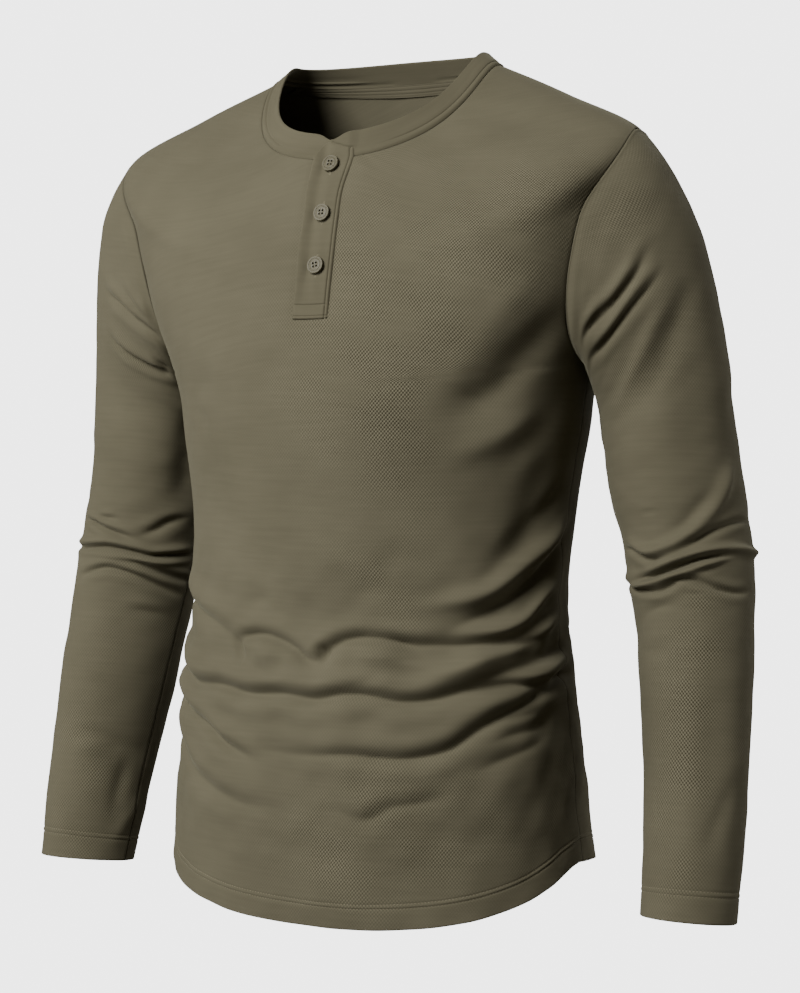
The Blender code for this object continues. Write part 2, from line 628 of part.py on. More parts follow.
def build_button(name, height, finish, collection, steps=20):
    """Turned button with a raised rim, a dished middle and four holes."""
    verts, faces = [], []
    for radius, level in BUTTON_PROFILE:
        for step in range(steps):
            turn = 2*pi*step/steps
            verts.append((radius*np.cos(turn)*MM, radius*np.sin(turn)*MM, level*MM))
    rings = len(BUTTON_PROFILE)
    for ring in range(rings - 1):
        for step in range(steps):
            after = (step + 1) % steps
            faces.append([ring*steps + step, (ring + 1)*steps + step, (ring + 1)*steps + after,
                          ring*steps + after])
    faces.append(list(range(steps)))
    faces.append([(rings - 1)*steps + step for step in reversed(range(steps))])
    button = add_piece(name, np.array(verts), faces, finish, collection)
    holes = bpy.data.objects.new(name + "_holes", hole_mesh(name))
    bpy.data.collections["cutters"].objects.link(holes)
    holes.hide_render = True
    holes.display_type = "WIRE"
    cut = button.modifiers.new("holes", "BOOLEAN")
    cut.operation = "DIFFERENCE"
    cut.solver = "EXACT"
    cut.object = holes
    level = centre_level(height)
    normal = normals_of(strip, np.array(BUTTON_ACROSS), np.array(level))
    middle = strip(BUTTON_ACROSS, level)
    spread = np.linspace(-BUTTON_RADIUS, BUTTON_RADIUS, 9)
    under = strip(*np.meshgrid(BUTTON_ACROSS + spread, centre_level(height + spread)))
    proud = np.max((under - middle) @ normal)
    seat = proud + (PLACKET_LIFT + PLACKET_THICK + BUTTON_SEAT)*MM
    centre = Vector(middle + normal*(seat - BUTTON_BACK*MM))
    turned = Vector(normal).to_track_quat("Z", "Y").to_matrix().to_4x4()
    for piece in (button, holes):
        piece.matrix_world = Matrix.Translation(centre) @ turned


def hole_mesh(name):
    """Four short prisms that run through a button from side to side."""
    verts, faces = [], []
    sides = 8
    for sign_x, sign_y in ((1, 1), (-1, 1), (-1, -1), (1, -1)):
        start = len(verts)
        for level in (2*BUTTON_BACK, -2*BUTTON_BACK):
            for side in range(sides):
                turn = 2*pi*side/sides
                verts.append(((sign_x*HOLE_OFFSET + HOLE_RADIUS*np.cos(turn))*MM,
                              (sign_y*HOLE_OFFSET + HOLE_RADIUS*np.sin(turn))*MM, level*MM))
        faces.append([start + side for side in reversed(range(sides))])
        faces.append([start + sides + side for side in range(sides)])
        for side in range(sides):
            after = (side + 1) % sides
            faces.append([start + side, start + after, start + sides + after, start + sides + side])
    mesh = bpy.data.meshes.new(name + "_holes")
    mesh.from_pydata(verts, [], faces)
    return mesh


def main():
    clear_scene()
    shirt = bpy.data.collections.new("henley_shirt")
    cutters = bpy.data.collections.new("cutters")
    for collection in (shirt, cutters):
        bpy.context.scene.collection.children.link(collection)
    build_front(material("front cloth", CLOTH_COLOUR, 0.85), shirt)
    build_back(material("back cloth", CLOTH_COLOUR, 0.85), shirt)
    build_sleeve("sleeve_left", LEFT_FOLDS_FLAT, False, material("left sleeve cloth", CLOTH_COLOUR, 0.85),
                 shirt)
    build_sleeve("sleeve_right", RIGHT_FOLDS_FLAT, True,
                 material("right sleeve cloth", CLOTH_COLOUR, 0.85), shirt)
    build_neckband(material("neckband cloth", CLOTH_COLOUR, 0.85), shirt)
    build_placket_under(material("under placket cloth", CLOTH_COLOUR, 0.85), shirt)
    build_placket_top(material("top placket cloth", CLOTH_COLOUR, 0.85), shirt)
    build_neck_tape(material("neck tape cloth", CLOTH_COLOUR, 0.85), shirt)
    for number, height in enumerate(BUTTON_HEIGHTS, start=1):
        build_button(f"button_{number}", height, material(f"button {number} resin", BUTTON_COLOUR, 0.45),
                     shirt)


main()
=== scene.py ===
"""Long-sleeved henley shirt in the hollow form it takes when worn, in olive cotton piqué.

Metres, +Z up. The shirt faces -Y and the wearer's left is +X. Sizes in the tables are millimetres and
degrees. The body is a family of rings from the hem (level 0) to the neck seam (level 1), cut by the
armholes into a front and a back. Each sleeve grows out of its armhole. Creases are laid on these forms
one by one, as troughs with the roll of cloth that hangs over them.
"""
from collections import namedtuple
from math import cos, pi, radians, sin

import bmesh
import bpy
import numpy as np
from mathutils import Matrix, Vector


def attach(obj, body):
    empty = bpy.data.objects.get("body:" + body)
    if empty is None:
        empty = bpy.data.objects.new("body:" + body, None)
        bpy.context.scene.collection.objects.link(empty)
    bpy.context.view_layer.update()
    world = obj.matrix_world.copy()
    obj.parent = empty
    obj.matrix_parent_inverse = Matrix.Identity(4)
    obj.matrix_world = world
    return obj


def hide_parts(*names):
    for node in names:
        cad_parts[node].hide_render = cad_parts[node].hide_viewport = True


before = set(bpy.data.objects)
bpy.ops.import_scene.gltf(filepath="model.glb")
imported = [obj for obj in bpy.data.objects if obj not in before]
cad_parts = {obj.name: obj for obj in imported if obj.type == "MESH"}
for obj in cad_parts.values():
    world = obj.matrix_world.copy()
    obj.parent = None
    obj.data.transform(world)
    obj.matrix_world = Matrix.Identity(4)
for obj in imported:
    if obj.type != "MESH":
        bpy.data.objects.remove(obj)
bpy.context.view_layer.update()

MM = 0.001

# ---------------------------------------------------------------- sizes shared by all the pieces

KNIT_THICK = 1.1
HEM_THICK = 2.0
HEM_HEIGHT = 20.0
TWIN_NEEDLE = 3.4
BAND_THICK = 1.9
PLACKET_LEFT = -15.5
PLACKET_RIGHT = 16.5
PLACKET_FOOT = -198.0
PLACKET_RISE = 1.35
PLACKET_THICK = 0.9
TAPE_THICK = 0.8
BUTTON_RADIUS = 7.0
BUTTON_BACK = -1.9
BUTTON_RISE = 1.95
BUTTON_HEIGHTS = (-75.0, -114.5, -156.0)
BUTTON_ACROSS = 2.6

Ring = namedtuple("Ring", "level z_side z_front z_back half_width y_front y_back y_side "
                          "peak_front peak_back")
RINGS = (
    Ring(0.00, -626, -673, -667, 184, -114, 128, 7, 0.76, 1.80),
    Ring(0.10, -562, -594, -590, 177, -113, 125, 6, 1.00, 2.40),
    Ring(0.22, -500, -512, -514, 171, -110, 121, 4, 3.00, 3.00),
    Ring(0.36, -430, -432, -434, 163, -104, 113, 3, 3.00, 3.00),
    Ring(0.50, -350, -352, -352, 166, -106, 116, 16, 3.00, 3.00),
    Ring(0.62, -285, -293, -290, 175, -111, 124, 21, 3.00, 3.00),
    Ring(0.72, -232, -248, -238, 185, -112, 128, 19, 3.00, 3.00),
    Ring(0.78, -168, -213, -190, 207, -109, 126, 10, 3.00, 3.00),
    Ring(0.84, -98, -176, -140, 225, -103, 118, 5, 3.00, 3.00),
    Ring(0.90, -52, -144, -90, 231, -96, 106, 0, 2.00, 3.00),
    Ring(0.95, -20, -104, -34, 168, -86, 89, 11, 1.20, 2.20),
    Ring(1.00, 9, -70, 8, 103, -73, 76, 22, 0.78, 1.40),
)
SQUARENESS = 2.25
UNDERARM_LEVEL = 0.72
SHOULDER_LEVEL = 0.90
WAIST_LEVEL = 0.36
NECK_LEVEL = 1.0

Cut = namedtuple("Cut", "level front back")
ARMHOLE_CUTS = (
    Cut(0.720, 1.000, 1.000),
    Cut(0.735, 0.975, 0.985),
    Cut(0.755, 0.945, 0.960),
    Cut(0.780, 0.920, 0.940),
    Cut(0.810, 0.905, 0.925),
    Cut(0.840, 0.907, 0.925),
    Cut(0.870, 0.940, 0.950),
    Cut(0.900, 1.000, 1.000),
)

Section = namedtuple("Section", "reach x y z long_half short_half turn pitch roll")
SLEEVE_SECTIONS = (
    Section(0.30, 240, 38, -262, 56, 49, -40, -8, 22),
    Section(0.42, 247, 40, -320, 54.5, 51, -42, -6, 8),
    Section(0.55, 257.5, 42, -376, 55, 49, -45, 0, 8),
    Section(0.68, 267, 34, -440, 53, 44.5, -45, 8, 8),
    Section(0.80, 274.5, 17, -520, 49, 40.5, -45, 14, 6),
    Section(0.91, 280, -1, -595, 44, 37.5, -45, 14, 4),
    Section(1.00, 281.5, -16, -657, 41, 36.5, -45, 9, 0),
)
CAP_REACH = 0.30
RIGHT_CUFF_DROP = 6.5       # the right sleeve ends this much lower than the left
DROP_START = 0.70
SLEEVE_LENGTH = 640.0

BAND_TOP = Ring(1.0, 22, -49, 26, 88, -68, 66, 26, 0.77, 3.50)
BAND_HEIGHT = 20.0
BAND_RUN = 0.036     # the band's height in the same measure as the rings' levels
NOTCH_SHARE = 0.27
NOTCH_WIDTH = 9.0

# Upper end of the placket: how far up the neckband each column of it reaches
Reach = namedtuple("Reach", "across up")
PLACKET_TOP_EDGE = (
    Reach(-15.5, -0.30), Reach(-14.0, 0.05), Reach(-12.0, 0.30), Reach(-9.0, 0.58), Reach(-5.0, 0.86),
    Reach(-1.0, 0.97), Reach(5.0, 0.70), Reach(11.0, 0.49), Reach(16.5, 0.38),
)

# ---------------------------------------------------------------- creases

# A crease is a sharp trough along a path, with the roll of cloth that hangs over its upper side.
# Places are degrees round the body from the front centre and heights, or degrees round the sleeve
# from its outer side by way of the front and thousandths of the sleeve's length.
Crease = namedtuple("Crease", "path depth width roll over ends")
# A swell is a soft ridge, or a soft hollow when its height is negative.
Swell = namedtuple("Swell", "path height width ends")

BODY_CREASES = (
    # the long crease across the belly, and the one below it that climbs to the left side seam
    Crease(((-112, -466), (-88, -470), (-72, -475), (-60, -483), (-45, -492), (-31, -491), (-20, -495),
            (-9, -493), (2, -495), (10, -490), (17, -490), (26, -494), (34, -492), (45, -484),
            (56, -481), (70, -482), (88, -478), (112, -484)), 7.0, 4.6, 4.8, 11, 0.14),
    Crease(((-24, -530), (-13, -537), (-4, -539), (12, -537), (27, -538), (38, -531), (48, -514),
            (60, -500), (70, -491), (81, -484), (94, -472), (108, -462)), 5.2, 4.0, 4.8, 12, 0.36),
    # crescents over the two puffs
    Crease(((-27, -458), (-24, -451), (-19, -448), (-10, -451), (-5, -457), (-1, -465), (5, -469)),
           6.0, 3.4, 2.4, 9, 0.24),
    Crease(((2, -473), (4, -461), (8, -451), (14, -446), (20, -446), (27, -449), (35, -456)),
           6.2, 4.2, 2.6, 9, 0.24),
    # creases at the left side
    Crease(((18, -446), (27, -449), (36, -450), (46, -450), (57, -449), (68, -448), (82, -444)), 7.6, 5.6,
           1.6, 10, 0.28),
    Crease(((36, -443), (42, -436), (49, -429), (58, -420), (67, -408), (76, -396), (88, -376),
            (98, -360)), 6.6, 6.4, 2.0, 11, 0.30),
    Crease(((42, -482), (50, -475), (58, -470), (67, -466), (82, -460), (96, -452)), 6.2, 5.6, 1.2, 9,
           0.28),
    Crease(((54, -508), (62, -505), (73, -503)), 1.6, 4.0, 1.0, 8, 0.40),
    Crease(((47, -527), (57, -520), (70, -515), (80, -508)), 2.4, 5.0, 1.6, 10, 0.40),
    Crease(((42, -551), (53, -540), (64, -531), (76, -521)), 2.2, 5.0, 1.4, 10, 0.40),
    # creases at the right side
    Crease(((-104, -414), (-84, -418), (-64, -425), (-43, -437), (-35, -443), (-27, -455), (-22, -467)),
           4.6, 4.2, 3.6, 12, 0.30),
    Crease(((-98, -498), (-76, -500), (-62, -507), (-45, -519), (-36, -526), (-30, -535), (-22, -543),
            (-12, -549)), 5.0, 4.2, 3.8, 10, 0.26),
    Crease(((-100, -528), (-78, -532), (-62, -540), (-52, -552), (-37, -570), (-26, -580), (-15, -584),
            (-2, -580)), 3.6, 5.4, 2.6, 12, 0.30),
    Crease(((3, -574), (10, -581), (16, -586), (24, -575), (31, -571), (42, -561)), 2.6, 5.0, 1.4, 10,
           0.40),
    Crease(((-46, -521), (-32, -533), (-22, -544), (-14, -552)), 2.4, 5.0, 1.6, 9, 0.40),
    # round the sides and across the back
    Crease(((98, -444), (118, -452), (150, -462), (184, -466), (214, -454), (240, -446)), 5.0, 4.6, 4.4,
           11, 0.30),
    Crease(((112, -478), (134, -490), (160, -497), (190, -502), (222, -492), (250, -480), (278, -484),
            (300, -484)), 5.6, 4.4, 4.6, 11, 0.22),
    Crease(((124, -522), (148, -532), (172, -541), (204, -536), (236, -521), (262, -512)), 4.4, 5.0,
           4.0, 12, 0.35),
    Crease(((232, -420), (252, -432), (272, -436), (292, -430)), 3.6, 4.6, 3.2, 11, 0.35),
    Crease(((150, -410), (176, -420), (200, -416), (222, -404)), 2.8, 6.0, 2.6, 13, 0.40),
    Crease(((130, -566), (160, -578), (190, -574), (214, -562)), 2.4, 6.0, 2.0, 13, 0.40),
)
BODY_SWELLS = (
    Swell(((-21, -461), (-15, -463), (-8, -465)), 4.0, 9, 0.45),
    Swell(((12, -459), (19, -459), (28, -462)), 3.2, 9, 0.45),
    Swell(((28, -480), (34, -475), (42, -467), (50, -459), (60, -453), (70, -446), (84, -433), (98, -420)),
          6.4, 6.5, 0.32),
    Swell(((40, -441), (50, -440), (59, -437), (67, -429), (75, -416), (91, -403)), 5.2, 5.5, 0.34),
    Swell(((26, -424), (38, -417), (51, -409), (60, -396), (68, -384), (85, -361), (94, -344)), 6.6, 7.5,
          0.30),
    Swell(((49, -476), (66, -476), (82, -477), (92, -471)), 2.4, 4.5, 0.40),
    Swell(((46, -415), (56, -396), (63, -381), (76, -360)), -2.4, 11, 0.40),
    Swell(((50, -322), (59, -299), (76, -272)), -2.6, 13, 0.40),
    Swell(((48, -392), (58, -376), (72, -352), (88, -322)), -3.6, 10, 0.36),
    Swell(((-46, -262), (-36, -249), (-24, -246)), -1.8, 11, 0.45),
    Swell(((-45, -258), (-38, -276), (-36, -296)), -1.6, 7, 0.45),
    Swell(((14, -394), (26, -383), (40, -404)), -1.6, 12, 0.45),
    Swell(((-8, -515), (4, -512), (16, -513)), 1.6, 10, 0.45),
    Swell(((20, -511), (30, -508), (40, -500)), 1.8, 10, 0.45),
    Swell(((-30, -300), (-20, -340), (-14, -390)), 1.2, 20, 0.45),
    # the cloth falls away between the chest and the armhole
    Swell(((54, -30), (53, -64), (50, -110), (46, -160)), 2.4, 20, 0.35),
    # the stomach and the hem stand out a little at the middle
    Swell(((8, -218), (8, -330), (6, -430)), 2.6, 45, 0.22),
    Swell(((2, -545), (4, -610), (6, -690)), 2.4, 42, 0.30),
    # the chest stands out over a hollow that runs in from the armhole
    Swell(((56, -160), (50, -176), (45, -194), (42, -216), (38, -238), (30, -252)), 1.8, 12, 0.35),
    Swell(((68, -186), (61, -208), (55, -230), (51, -250), (44, -264), (32, -272)), -6.6, 15, 0.30),
    Swell(((66, -262), (58, -280), (50, -292), (42, -300), (34, -304)), 3.4, 10, 0.40),
    Swell(((34, -248), (40, -256), (46, -263), (54, -273)), -0.8, 4, 0.45),
    Swell(((74, -292), (69, -323), (64, -354), (56, -377)), -2.4, 15, 0.40),
    # the valleys between the puffs and beside them
    Swell(((3, -448), (4, -458), (4, -470)), -5.0, 3.6, 0.42),
    Swell(((-28, -446), (-26, -455), (-24, -464), (-22, -473)), -4.4, 3.4, 0.42),
    Swell(((22, -456), (32, -458), (42, -457), (50, -454)), -4.4, 5.0, 0.42),
    # lower rims of the two puffs
    Swell(((-20, -472), (-13, -478), (-6, -475)), -1.3, 4.5, 0.45),
    Swell(((5, -474), (13, -481), (24, -470)), -1.4, 4.5, 0.45),
    # shallow dents over and under the puffs
    Swell(((-27, -428), (-18, -420), (-11, -408)), -1.5, 7, 0.45),
    Swell(((8, -420), (18, -410), (28, -398)), -1.5, 9, 0.45),
    Swell(((-14, -511), (-4, -510)), -1.4, 7, 0.45),
    Swell(((10, -509), (24, -505)), -1.4, 7, 0.45),
    Swell(((140, -290), (122, -262), (104, -246)), -3.0, 14, 0.40),
    Swell(((220, -290), (240, -262), (256, -246)), -3.0, 14, 0.40),
    Swell(((160, -330), (150, -370), (156, -410)), 2.0, 20, 0.45),
    Swell(((206, -320), (212, -366), (204, -404)), 1.8, 20, 0.45),
)

LEFT_SLEEVE_CREASES = (
    # fan out of the underarm
    Crease(((40, 124), (50, 122), (62, 131), (84, 131), (110, 108), (134, 74)), 3.4, 3.8, 3.8, 8, 0.28),
    Crease(((40, 148), (58, 157), (78, 159), (108, 156), (138, 122)), 3.2, 3.8, 3.0, 8, 0.28),
    # elbow
    Crease(((-14, 518), (16, 514), (36, 519), (51, 527), (62, 537), (76, 549), (84, 557)), 3.6, 3.2, 0.6,
           7, 0.30),
    Crease(((88, 563), (98, 565), (110, 563), (119, 554), (130, 544), (150, 538)), 3.8, 2.8, 0.6, 7,
           0.30),
    Crease(((24, 573), (50, 571), (63, 573), (74, 578), (88, 586), (104, 593), (126, 598), (140, 603)),
           7.0, 2.8, 0.8, 6, 0.30),
    Crease(((30, 582), (44, 586), (60, 593), (67, 596), (74, 598)), 2.2, 2.4, 0.6, 5, 0.40),
    Crease(((2, 634), (32, 637), (50, 629), (63, 618), (72, 609), (85, 607), (94, 616), (104, 622),
            (118, 619), (136, 615), (152, 604), (176, 598)), 4.8, 2.8, 1.2, 6, 0.22),
    Crease(((80, 650), (98, 648), (115, 652), (140, 668)), 1.8, 5.0, 1.2, 10, 0.45),
    Crease(((90, 709), (116, 708), (146, 713)), 1.5, 5.0, 1.0, 10, 0.45),
    Crease(((86, 473), (98, 472), (110, 473)), 1.0, 3.4, 0.6, 6, 0.45),
    Crease(((62, 640), (72, 635), (84, 631)), 0.9, 2.6, 0.4, 5, 0.45),
    # back of the sleeve
    Crease(((190, 540), (222, 552), (262, 548), (300, 530)), 4.0, 4.0, 3.0, 9, 0.35),
    Crease(((176, 598), (208, 600), (250, 606), (296, 594), (336, 582)), 5.4, 3.6, 4.0, 9, 0.30),
    Crease(((210, 650), (250, 656), (300, 640)), 2.4, 5.0, 2.0, 11, 0.40),
    Crease(((214, 120), (250, 150), (300, 150)), 2.4, 6.0, 2.0, 12, 0.40),
)
LEFT_SLEEVE_SWELLS = (
    Swell(((3, 398), (22, 433), (34, 461), (52, 496), (69, 524), (86, 541), (108, 547), (123, 532),
           (134, 508)), 5.6, 7.2, 0.22),
    Swell(((28, 437), (41, 455), (55, 478), (70, 505), (94, 524)), -2.6, 8, 0.40),
    Swell(((120, 590), (140, 592), (165, 586)), 3.2, 8, 0.40),
    Swell(((-48, 575), (-20, 573), (0, 571), (24, 563), (49, 558), (68, 562), (90, 571), (106, 582),
           (130, 594)), 4.6, 4.8, 0.24),
    Swell(((24, 574), (51, 583), (68, 590), (85, 597), (106, 604), (140, 609), (168, 604)), 3.8, 4.8,
          0.26),
    Swell(((24, 160), (46, 180), (68, 202), (83, 221), (108, 258), (126, 294)), 2.6, 8, 0.40),
    Swell(((20, 178), (40, 202), (58, 228), (76, 262), (98, 300)), -2.6, 10, 0.40),
    Swell(((24, 848), (39, 882), (52, 910), (62, 936)), -1.8, 8, 0.45),
    Swell(((22, 90), (40, 180), (55, 270), (52, 350), (48, 430)), -1.7, 15, 0.25),
    Swell(((58, 690), (58, 780), (55, 900), (55, 990)), -1.5, 15, 0.25),
    Swell(((-30, 300), (-10, 330), (10, 370)), -1.6, 12, 0.45),
    Swell(((236, 380), (262, 430), (280, 480)), -2.0, 13, 0.45),
)
RIGHT_SLEEVE_CREASES = (
    Crease(((48, 146), (64, 142), (78, 130), (98, 108), (117, 70), (140, 10)), 5.4, 3.2, 3.0, 8, 0.24),
    Crease(((78, 102), (90, 88), (105, 68), (130, 6)), 3.2, 3.0, 1.6, 7, 0.32),
    Crease(((66, 190), (76, 196), (92, 194), (109, 183), (129, 158), (148, 108)), 5.2, 3.2, 2.8, 8,
           0.26),
    Crease(((122, 140), (136, 118), (150, 88)), 1.8, 3.0, 1.0, 6, 0.40),
    Crease(((70, 522), (80, 520), (98, 516)), 2.2, 3.6, 1.4, 7, 0.45),
    Crease(((40, 532), (51, 534), (66, 536), (83, 543), (104, 552), (118, 562)), 4.4, 3.2, 2.4, 7, 0.30),
    Crease(((116, 554), (132, 535), (145, 514), (168, 499)), 3.4, 5.0, 1.6, 9, 0.40),
    Crease(((20, 600), (50, 596), (72, 588), (92, 580), (115, 582), (135, 587), (150, 583), (186, 577)),
           5.6, 2.6, 3.4, 7, 0.20),
    Crease(((110, 596), (126, 606), (138, 613), (162, 623), (190, 632)), 3.8, 3.0, 2.6, 7, 0.30),
    Crease(((50, 662), (62, 652), (78, 637), (96, 624), (112, 626), (126, 631), (142, 640), (184, 660)),
           4.4, 3.2, 2.2, 7, 0.30),
    Crease(((114, 690), (140, 688), (170, 692)), 1.6, 3.8, 1.2, 8, 0.45),
    Crease(((80, 861), (115, 853), (142, 861), (180, 869)), 1.8, 4.0, 1.2, 8, 0.40),
    Crease(((196, 560), (232, 566), (270, 556), (316, 544)), 4.4, 4.0, 3.4, 9, 0.35),
    Crease(((204, 606), (250, 612), (300, 600), (344, 600)), 4.8, 3.6, 3.6, 9, 0.35),
    Crease(((210, 112), (248, 146), (300, 150)), 2.4, 6.0, 2.0, 12, 0.40),
)
RIGHT_SLEEVE_SWELLS = (
    Swell(((56, 612), (94, 600), (108, 598), (125, 596), (154, 597), (190, 590)), 2.6, 4.0, 0.35),
    Swell(((160, 220), (158, 350), (158, 500)), -7.0, 15, 0.30),
    Swell(((82, 880), (112, 868), (138, 868)), 1.4, 6, 0.45),
    Swell(((156, 860), (152, 905), (147, 955)), -2.4, 8, 0.45),
    Swell(((190, 914), (168, 948), (150, 980)), 1.6, 7, 0.45),
    Swell(((236, 380), (262, 430), (280, 480)), -2.0, 13, 0.45),
)

# mm of cloth for a degree, and for a unit of height; and mm round the sleeve
BODY_SCALE, SLEEVE_SCALE = (2.6, 1.0), (0.84, -SLEEVE_LENGTH/1000)
SLEEVE_ROUND = 360*SLEEVE_SCALE[0]

# Unevenness of cloth that has been worn: height and length of a wave, and the direction it runs in
Wave = namedtuple("Wave", "height length heading start")
WAVES = (
    Wave(0.30, 118, 12, 0.3), Wave(0.26, 93, 97, 2.1), Wave(0.22, 71, 154, 4.0), Wave(0.20, 64, 38, 1.2),
    Wave(0.16, 52, 71, 5.1), Wave(0.14, 43, 121, 0.9), Wave(0.11, 36, 8, 3.3), Wave(0.10, 31, 83, 2.7),
    Wave(0.07, 23, 141, 1.9), Wave(0.06, 19, 58, 4.4),
)

# Where the knit's cells stand up; elsewhere wear and steam have pressed them flat. Places are as for
# the creases, and the radius is in millimetres.
Spot = namedtuple("Spot", "across up radius strength")
FRONT_RAISED = (
    Spot(17, -207, 52, 0.9), Spot(24, -146, 44, 0.8), Spot(36, -109, 50, 0.8), Spot(46, -147, 44, 0.8),
    Spot(22, -261, 62, 1.0), Spot(36, -215, 40, 0.8), Spot(55, -100, 40, 0.6), Spot(30, -318, 34, 0.6),
    Spot(12, -150, 34, 0.6), Spot(22, -392, 40, 0.7), Spot(31, -418, 28, 0.5), Spot(20, -470, 28, 0.3),
    Spot(12, -493, 22, 0.3), Spot(7, -611, 50, 0.7), Spot(26, -604, 50, 0.8), Spot(42, -568, 38, 0.5),
    Spot(53, -599, 36, 0.4), Spot(20, -561, 34, 0.5), Spot(80, -560, 40, 0.4), Spot(-60, -600, 40, 0.3),
)
BACK_RAISED = (
    Spot(150, -120, 80, 0.7), Spot(196, -190, 90, 0.8), Spot(170, -330, 70, 0.6), Spot(220, -400, 60, 0.5),
    Spot(140, -560, 70, 0.6), Spot(200, -600, 80, 0.7), Spot(240, -240, 60, 0.5),
)
LEFT_SLEEVE_RAISED = (
    Spot(48, 62, 36, 0.6), Spot(57, 220, 44, 0.6), Spot(104, 240, 34, 0.5), Spot(66, 660, 24, 0.8),
    Spot(72, 710, 26, 0.9), Spot(80, 770, 28, 0.9), Spot(80, 830, 28, 0.9), Spot(84, 890, 30, 0.9),
    Spot(96, 940, 30, 0.8), Spot(70, 800, 70, 0.3),
    Spot(250, 300, 70, 0.6), Spot(250, 760, 80, 0.7),
)
RIGHT_SLEEVE_RAISED = (
    Spot(131, 929, 44, 0.9), Spot(102, 880, 46, 0.7), Spot(90, 180, 26, 0.6), Spot(140, 720, 40, 0.5),
    Spot(110, 620, 24, 0.4), Spot(250, 300, 70, 0.6), Spot(250, 760, 80, 0.7),
)

# ---------------------------------------------------------------- curves and forms


def columns_of(table, scale):
    """The table's knots, which are its first column, and its other columns, scaled."""
    rows = np.array(table, float)
    return rows[:, 0], rows[:, 1:]*np.array(scale)


def cubic(t, start, leaving, end, arriving):
    """Smooth curve from start to end, with the slope it leaves and arrives with."""
    return ((2*t**3 - 3*t**2 + 1)*start + (t**3 - 2*t**2 + t)*leaving
            + (3*t**2 - 2*t**3)*end + (t**3 - t**2)*arriving)


def along(knots, values, at):
    """Smooth curve through the table's rows, read at any knot value."""
    slopes = np.gradient(values, knots, axis=0)
    at = np.asarray(at, float)
    low = np.clip(np.searchsorted(knots, at, side="right") - 1, 0, len(knots) - 2)
    step = (knots[low + 1] - knots[low])[..., None]
    return cubic((at - knots[low])[..., None]/step, values[low], step*slopes[low],
                 values[low + 1], step*slopes[low + 1])


def smooth(low, high, value):
    """0 at low, 1 at high, and a smooth step between."""
    t = np.clip((np.asarray(value, float) - low)/(high - low), 0, 1)
    return t*t*(3 - 2*t)


def bell(distance, width):
    return np.exp(-(np.asarray(distance, float)/width)**2)


def unit(vectors):
    return vectors/np.maximum(np.linalg.norm(vectors, axis=-1, keepdims=True), 1e-12)


def together(*values):
    """Arrays of one shape."""
    return np.broadcast_arrays(*(np.asarray(value, float) for value in values))


def lengths_along(grid, axis=0):
    """Distance walked along one axis of a grid, or along a path, from its first point."""
    step = np.linalg.norm(np.diff(grid, axis=axis), axis=-1)
    zero = np.zeros_like(np.take(step, [0], axis=axis))
    return np.concatenate([zero, np.cumsum(step, axis=axis)], axis=axis)


RING_SCALE = [MM]*7 + [1, 1]
RING_KNOTS, RING_VALUES = columns_of(RINGS, RING_SCALE)
CUT_KNOTS, CUT_VALUES = columns_of(ARMHOLE_CUTS, [1, 1])
SECTION_KNOTS, SECTION_VALUES = columns_of(SLEEVE_SECTIONS, [MM]*5 + [pi/180]*3)
TOP_EDGE_ACROSS, TOP_EDGE_UP = np.array(PLACKET_TOP_EDGE).T


def ring_point(theta, values):
    """Point of a ring at an angle from the front centre, positive to the wearer's left."""
    z_side, z_front, z_back, half_width, y_front, y_back, y_side, peak_front, peak_back = (
        np.moveaxis(values, -1, 0))
    sine, cosine = np.sin(theta), np.cos(theta)
    corner = (np.abs(sine)**SQUARENESS + np.abs(cosine)**SQUARENESS)**(-1/SQUARENESS)
    in_front = cosine > 0
    depth = np.where(in_front, y_front - y_side, y_back - y_side)
    drop = np.where(in_front, z_front - z_side, z_back - z_side)
    peak = np.where(in_front, peak_front, peak_back)
    rise = cosine**2*(1 + peak**2)/(cosine**2 + peak**2)
    return np.stack([half_width*sine*corner, y_side + depth*np.abs(cosine)*corner,
                     z_side + drop*rise], -1)


def normals_of(surface, across, down, step=0.003):
    """Unit normals of a surface of two parameters, on the side of across x down."""
    side = surface(across + step, down) - surface(across - step, down)
    run = surface(across, down + step) - surface(across, down - step)
    return unit(np.cross(side, run))


def body_form(theta, level):
    theta, level = together(theta, level)
    return ring_point(theta, along(RING_KNOTS, RING_VALUES, np.minimum(level, NECK_LEVEL + 0.004)))


def edge_angle(level, of_back):
    """Angle at which a panel ends, at its side seam, armhole or shoulder seam."""
    level = np.asarray(level, float)
    share = along(CUT_KNOTS, CUT_VALUES, np.clip(level, UNDERARM_LEVEL, SHOULDER_LEVEL))
    share = np.clip(share[..., 1 if of_back else 0], 0, 1)**SQUARENESS
    share = np.where((level > UNDERARM_LEVEL) & (level < SHOULDER_LEVEL), share, 1.0)
    return np.arctan2(share**(1/SQUARENESS), (1 - share)**(1/SQUARENESS))


def armhole_levels(of_back):
    """Level against the share of the armhole's length, from the shoulder point to the underarm."""
    turn = np.linspace(0, pi, 200)
    level = (UNDERARM_LEVEL + SHOULDER_LEVEL)/2 + (SHOULDER_LEVEL - UNDERARM_LEVEL)/2*np.cos(turn)
    angle = edge_angle(level, of_back)
    length = lengths_along(body_form(pi - angle if of_back else angle, level))
    return length/length[-1], level


ARMHOLE = {of_back: armhole_levels(of_back) for of_back in (False, True)}


def armhole_place(phi):
    """Angle and level on the body of the left armhole's edge, by the angle round the sleeve."""
    phi = np.mod(phi, 2*pi)
    in_front = phi <= pi
    front_level = np.interp(phi/pi, *ARMHOLE[False])
    back_level = np.interp(2 - phi/pi, *ARMHOLE[True])
    level = np.where(in_front, front_level, back_level)
    angle = np.where(in_front, edge_angle(level, False), pi - edge_angle(level, True))
    return angle, level


